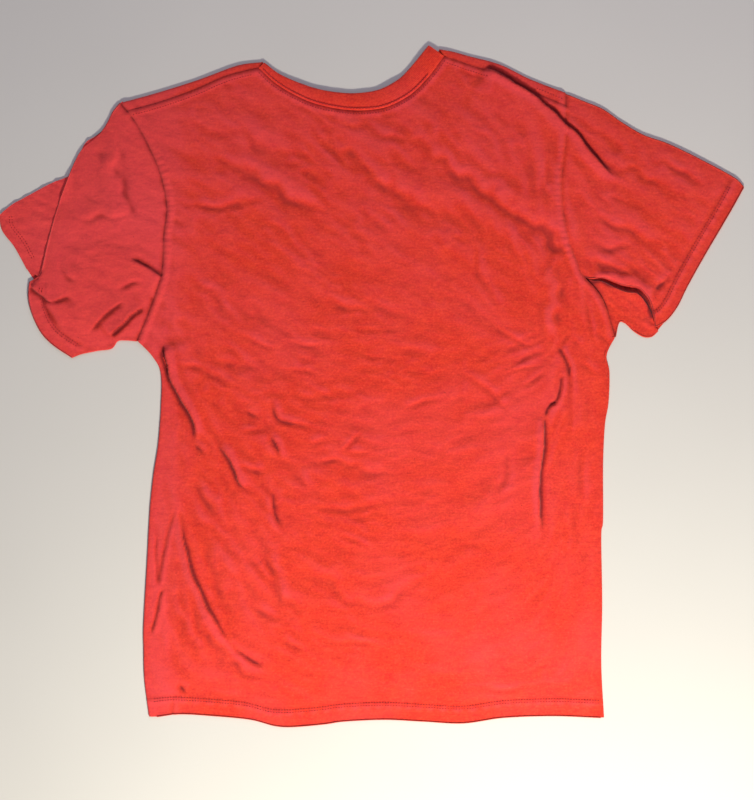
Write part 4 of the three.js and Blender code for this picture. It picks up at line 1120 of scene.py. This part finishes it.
def jersey(name, knitted=True):
    """Faded cotton knit, with two vertex marks made by mark(). Raised bends turn lighter and pinker, partly
    wear and partly painted highlight. Folds, gaps and seams turn darker, which is painted shade with some
    seam dye.
    """
    n = Nodes(name)
    uv = n.make("ShaderNodeUVMap", uv_map="cloth").outputs[0]
    place = n.make("ShaderNodeTexCoord").outputs["Object"]
    ridge_wear_and_highlight = n.make("ShaderNodeAttribute", attribute_name="ridge_wear_and_highlight").outputs["Fac"]
    crease_shade_and_dye = n.make("ShaderNodeAttribute", attribute_name="crease_shade_and_dye").outputs["Fac"]
    broad_fade = n.noise(place, 9.0, 2.0)
    heather = n.noise(place, 420.0, 4.0, 0.7)
    blotch = n.noise(place, 75.0, 3.0, 0.6)
    slub = n.noise(n.scaled(uv, 60.0, 900.0), 1.0, 3.0, 0.6)
    fuzz = n.noise(place, 1500.0, 2.0, 0.7)
    tone = n.math("MULTIPLY_ADD", n.math("SUBTRACT", heather, 0.5), 1.5, 0.5)
    tone = n.math("MULTIPLY_ADD", n.math("SUBTRACT", blotch, 0.5), 0.55, tone)
    tone = n.math("MULTIPLY_ADD", n.math("SUBTRACT", slub, 0.5), 0.6, tone)
    colour = n.blend(n.range(tone, 0.15, 0.95), CORAL_DARK, CORAL)
    colour = n.blend(n.range(broad_fade, 0.42, 0.72, 0.0, 0.24), colour, CORAL_FADED_AND_LIT)
    colour = n.blend(n.math("MULTIPLY", n.range(heather, 0.58, 0.72), 0.22), colour, CORAL_FADED_AND_LIT)
    # Painted highlight: raised bends and the painted fill tint lighten towards faded pink, partly real wear.
    colour = n.blend(n.math("MULTIPLY", ridge_wear_and_highlight, 0.4), colour, CORAL_FADED_AND_LIT)
    # Painted shade: folds, gaps and seams darken towards dark maroon, partly seam dye.
    shade_weight = n.math("MULTIPLY_ADD", n.math("POWER", crease_shade_and_dye, 3.0), 0.5, 0.4)
    colour = n.blend(n.math("MULTIPLY", crease_shade_and_dye, shade_weight), colour, CORAL_SHADE_AND_SPECK)
    speck = n.make("ShaderNodeTexVoronoi", {"Vector": place, "Scale": 70.0}).outputs["Distance"]
    speck_pick = n.noise(place, 33.0, 0.0)
    specks = n.math("MULTIPLY", n.range(speck, 0.055, 0.03), n.range(speck_pick, 0.6, 0.62))
    colour = n.blend(n.math("MULTIPLY", specks, 0.55), colour, CORAL_SHADE_AND_SPECK)
    relief = n.noise(place, 210.0, 4.0, 0.65)
    pucker = n.noise(n.scaled(place, 60.0, 95.0), 1.0, 3.0, 0.55)
    normal = n.bump(pucker, 0.0022, 0.55)
    normal = n.bump(relief, 0.0008, 0.6, normal)
    normal = n.bump(fuzz, 0.0003, 0.5, normal)
    if knitted:
        xyz = n.make("ShaderNodeSeparateXYZ", {0: uv})
        across = n.math("DIVIDE", xyz.outputs[0], WALE)
        up = n.math("DIVIDE", xyz.outputs[1], WALE * 0.8)
        leg = n.math("ABSOLUTE", n.math("SUBTRACT", n.math("FRACT", across), 0.5))
        wales = n.math("SINE", n.math("MULTIPLY", leg, math.pi))
        rows = n.math("SINE", n.math("MULTIPLY", n.math("ADD", up, leg), 2 * math.pi))
        normal = n.bump(n.math("MULTIPLY_ADD", rows, 0.28, wales), 0.00022, 0.6, normal)
    return n.finished(Base_Color=colour, Roughness=n.range(heather, 0.3, 0.7, 0.82, 0.95), Normal=normal,
                      Sheen_Weight=0.22, Sheen_Roughness=0.55, Sheen_Tint=(1.0, 0.62, 0.6, 1.0),
                      Specular_IOR_Level=0.18)


def plain_thread(name, colour):
    n = Nodes(name)
    place = n.make("ShaderNodeTexCoord").outputs["Object"]
    twist = n.noise(n.scaled(place, 1400.0, 1400.0, 1400.0), 1.0, 2.0)
    tone = n.noise(place, 160.0, 2.0)
    mixed = n.blend(n.range(tone, 0.35, 0.65), tuple(c * 0.72 for c in colour[:3]) + (1.0,), colour)
    return n.finished(Base_Color=mixed, Roughness=n.range(twist, 0.3, 0.7, 0.55, 0.75),
                      Normal=n.bump(twist, 0.0002, 0.6), Specular_IOR_Level=0.3)


for material, pieces in ((jersey("jersey"), cloths), (jersey("rib_knit", knitted=False), (neck_rib_band,)),
                         (jersey("seam_allowance_knit"), (tape, *strips.values())),
                         (plain_thread("thread", THREAD_COLOUR_SHADED), threads)):
    for ob in pieces:
        ob.data.materials.append(material)

# ---------------------------------------------------------------- bodies and replaced nodes
for piece in (back_cloth, front_cloth, neck_rib_band, hem_threads, shoulder_threads, neck_threads_rib,
              neck_threads_body, tape, *body_strips):
    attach(piece, "torso")
sleeves = {"left_sleeve_body": (left_sleeve_cloth, left_threads, strips["left_underarm"]),
           "right_sleeve_body": (right_sleeve_cloth, right_threads, strips["right_underarm"])}
for joint in frame["joints"]:
    for piece in sleeves[joint["child"]]:
        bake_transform(piece)

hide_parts("back_panel", "bottom_hem")
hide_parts("front_panel")
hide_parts("neck_rib")
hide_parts("neck_tape")
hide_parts("neck_stitch_on_rib")
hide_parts("neck_stitch_on_back")
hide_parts("hem_stitch_upper", "hem_stitch_lower")
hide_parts("left_sleeve", "left_sleeve_cap", "left_sleeve_hem")
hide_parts("right_sleeve", "right_sleeve_cap", "right_sleeve_hem")
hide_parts("left_sleeve_hem_stitch")
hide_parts("right_sleeve_hem_stitch")
for seam, strip in strips.items():
    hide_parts(f"{seam}_seam")

# ---------------------------------------------------------------- floor, light, camera
bpy.ops.mesh.primitive_plane_add(size=6, location=(0, 0, 0))
floor = bpy.context.object
floor.name = "floor"
n = Nodes("pale_floor")
place = n.make("ShaderNodeTexCoord").outputs["Object"]
tone = n.noise(place, 3.0, 2.0)
colour = n.blend(tone, (0.60, 0.59, 0.57, 1), (0.66, 0.65, 0.63, 1))
floor.data.materials.append(n.finished(Base_Color=colour, Roughness=0.9, Specular_IOR_Level=0.1))


def area_light(name, place, aim, size, power, colour):
    data = bpy.data.lights.new(name, "AREA")
    data.shape, data.size, data.size_y = "RECTANGLE", size[0], size[1]
    data.energy, data.color = power, colour
    lamp = bpy.data.objects.new(name, data)
    bpy.context.collection.objects.link(lamp)
    lamp.location = place
    lamp.rotation_euler = (Vector(aim) - Vector(place)).to_track_quat("-Z", "Y").to_euler()


area_light("key", (0.28, -1.08, 0.84), (0, -0.02, 0), (0.24, 0.14), 24.5, (1.0, 0.95, 0.79))
area_light("fill", (0.4, 1.0, 1.5), (0, 0.1, 0), (1.6, 1.6), 8, (0.90, 0.80, 1.0))
world = bpy.data.worlds.new("studio")
bpy.context.scene.world = world
world.use_nodes = True
world.node_tree.nodes["Background"].inputs[0].default_value = (0.86, 0.86, 1.0, 1)
world.node_tree.nodes["Background"].inputs[1].default_value = 0.24
bpy.context.scene.view_settings.view_transform = "Standard"

# The camera looks straight down. In metres: the height of what it sees, its middle, and how high it hangs.
VIEW_HEIGHT = 0.880
VIEW_CENTRE = (0.0055, -0.0154)
CAMERA_HEIGHT = 1.5
SENSOR = 24
camera_data = bpy.data.cameras.new("camera")
camera_data.sensor_fit = "VERTICAL"
camera_data.sensor_height = SENSOR
camera_data.lens = SENSOR * CAMERA_HEIGHT / VIEW_HEIGHT
camera = bpy.data.objects.new("camera", camera_data)
bpy.context.collection.objects.link(camera)
camera.location = (VIEW_CENTRE[0], VIEW_CENTRE[1], CAMERA_HEIGHT)
camera.rotation_euler = (0, 0, 0)
bpy.context.scene.camera = camera
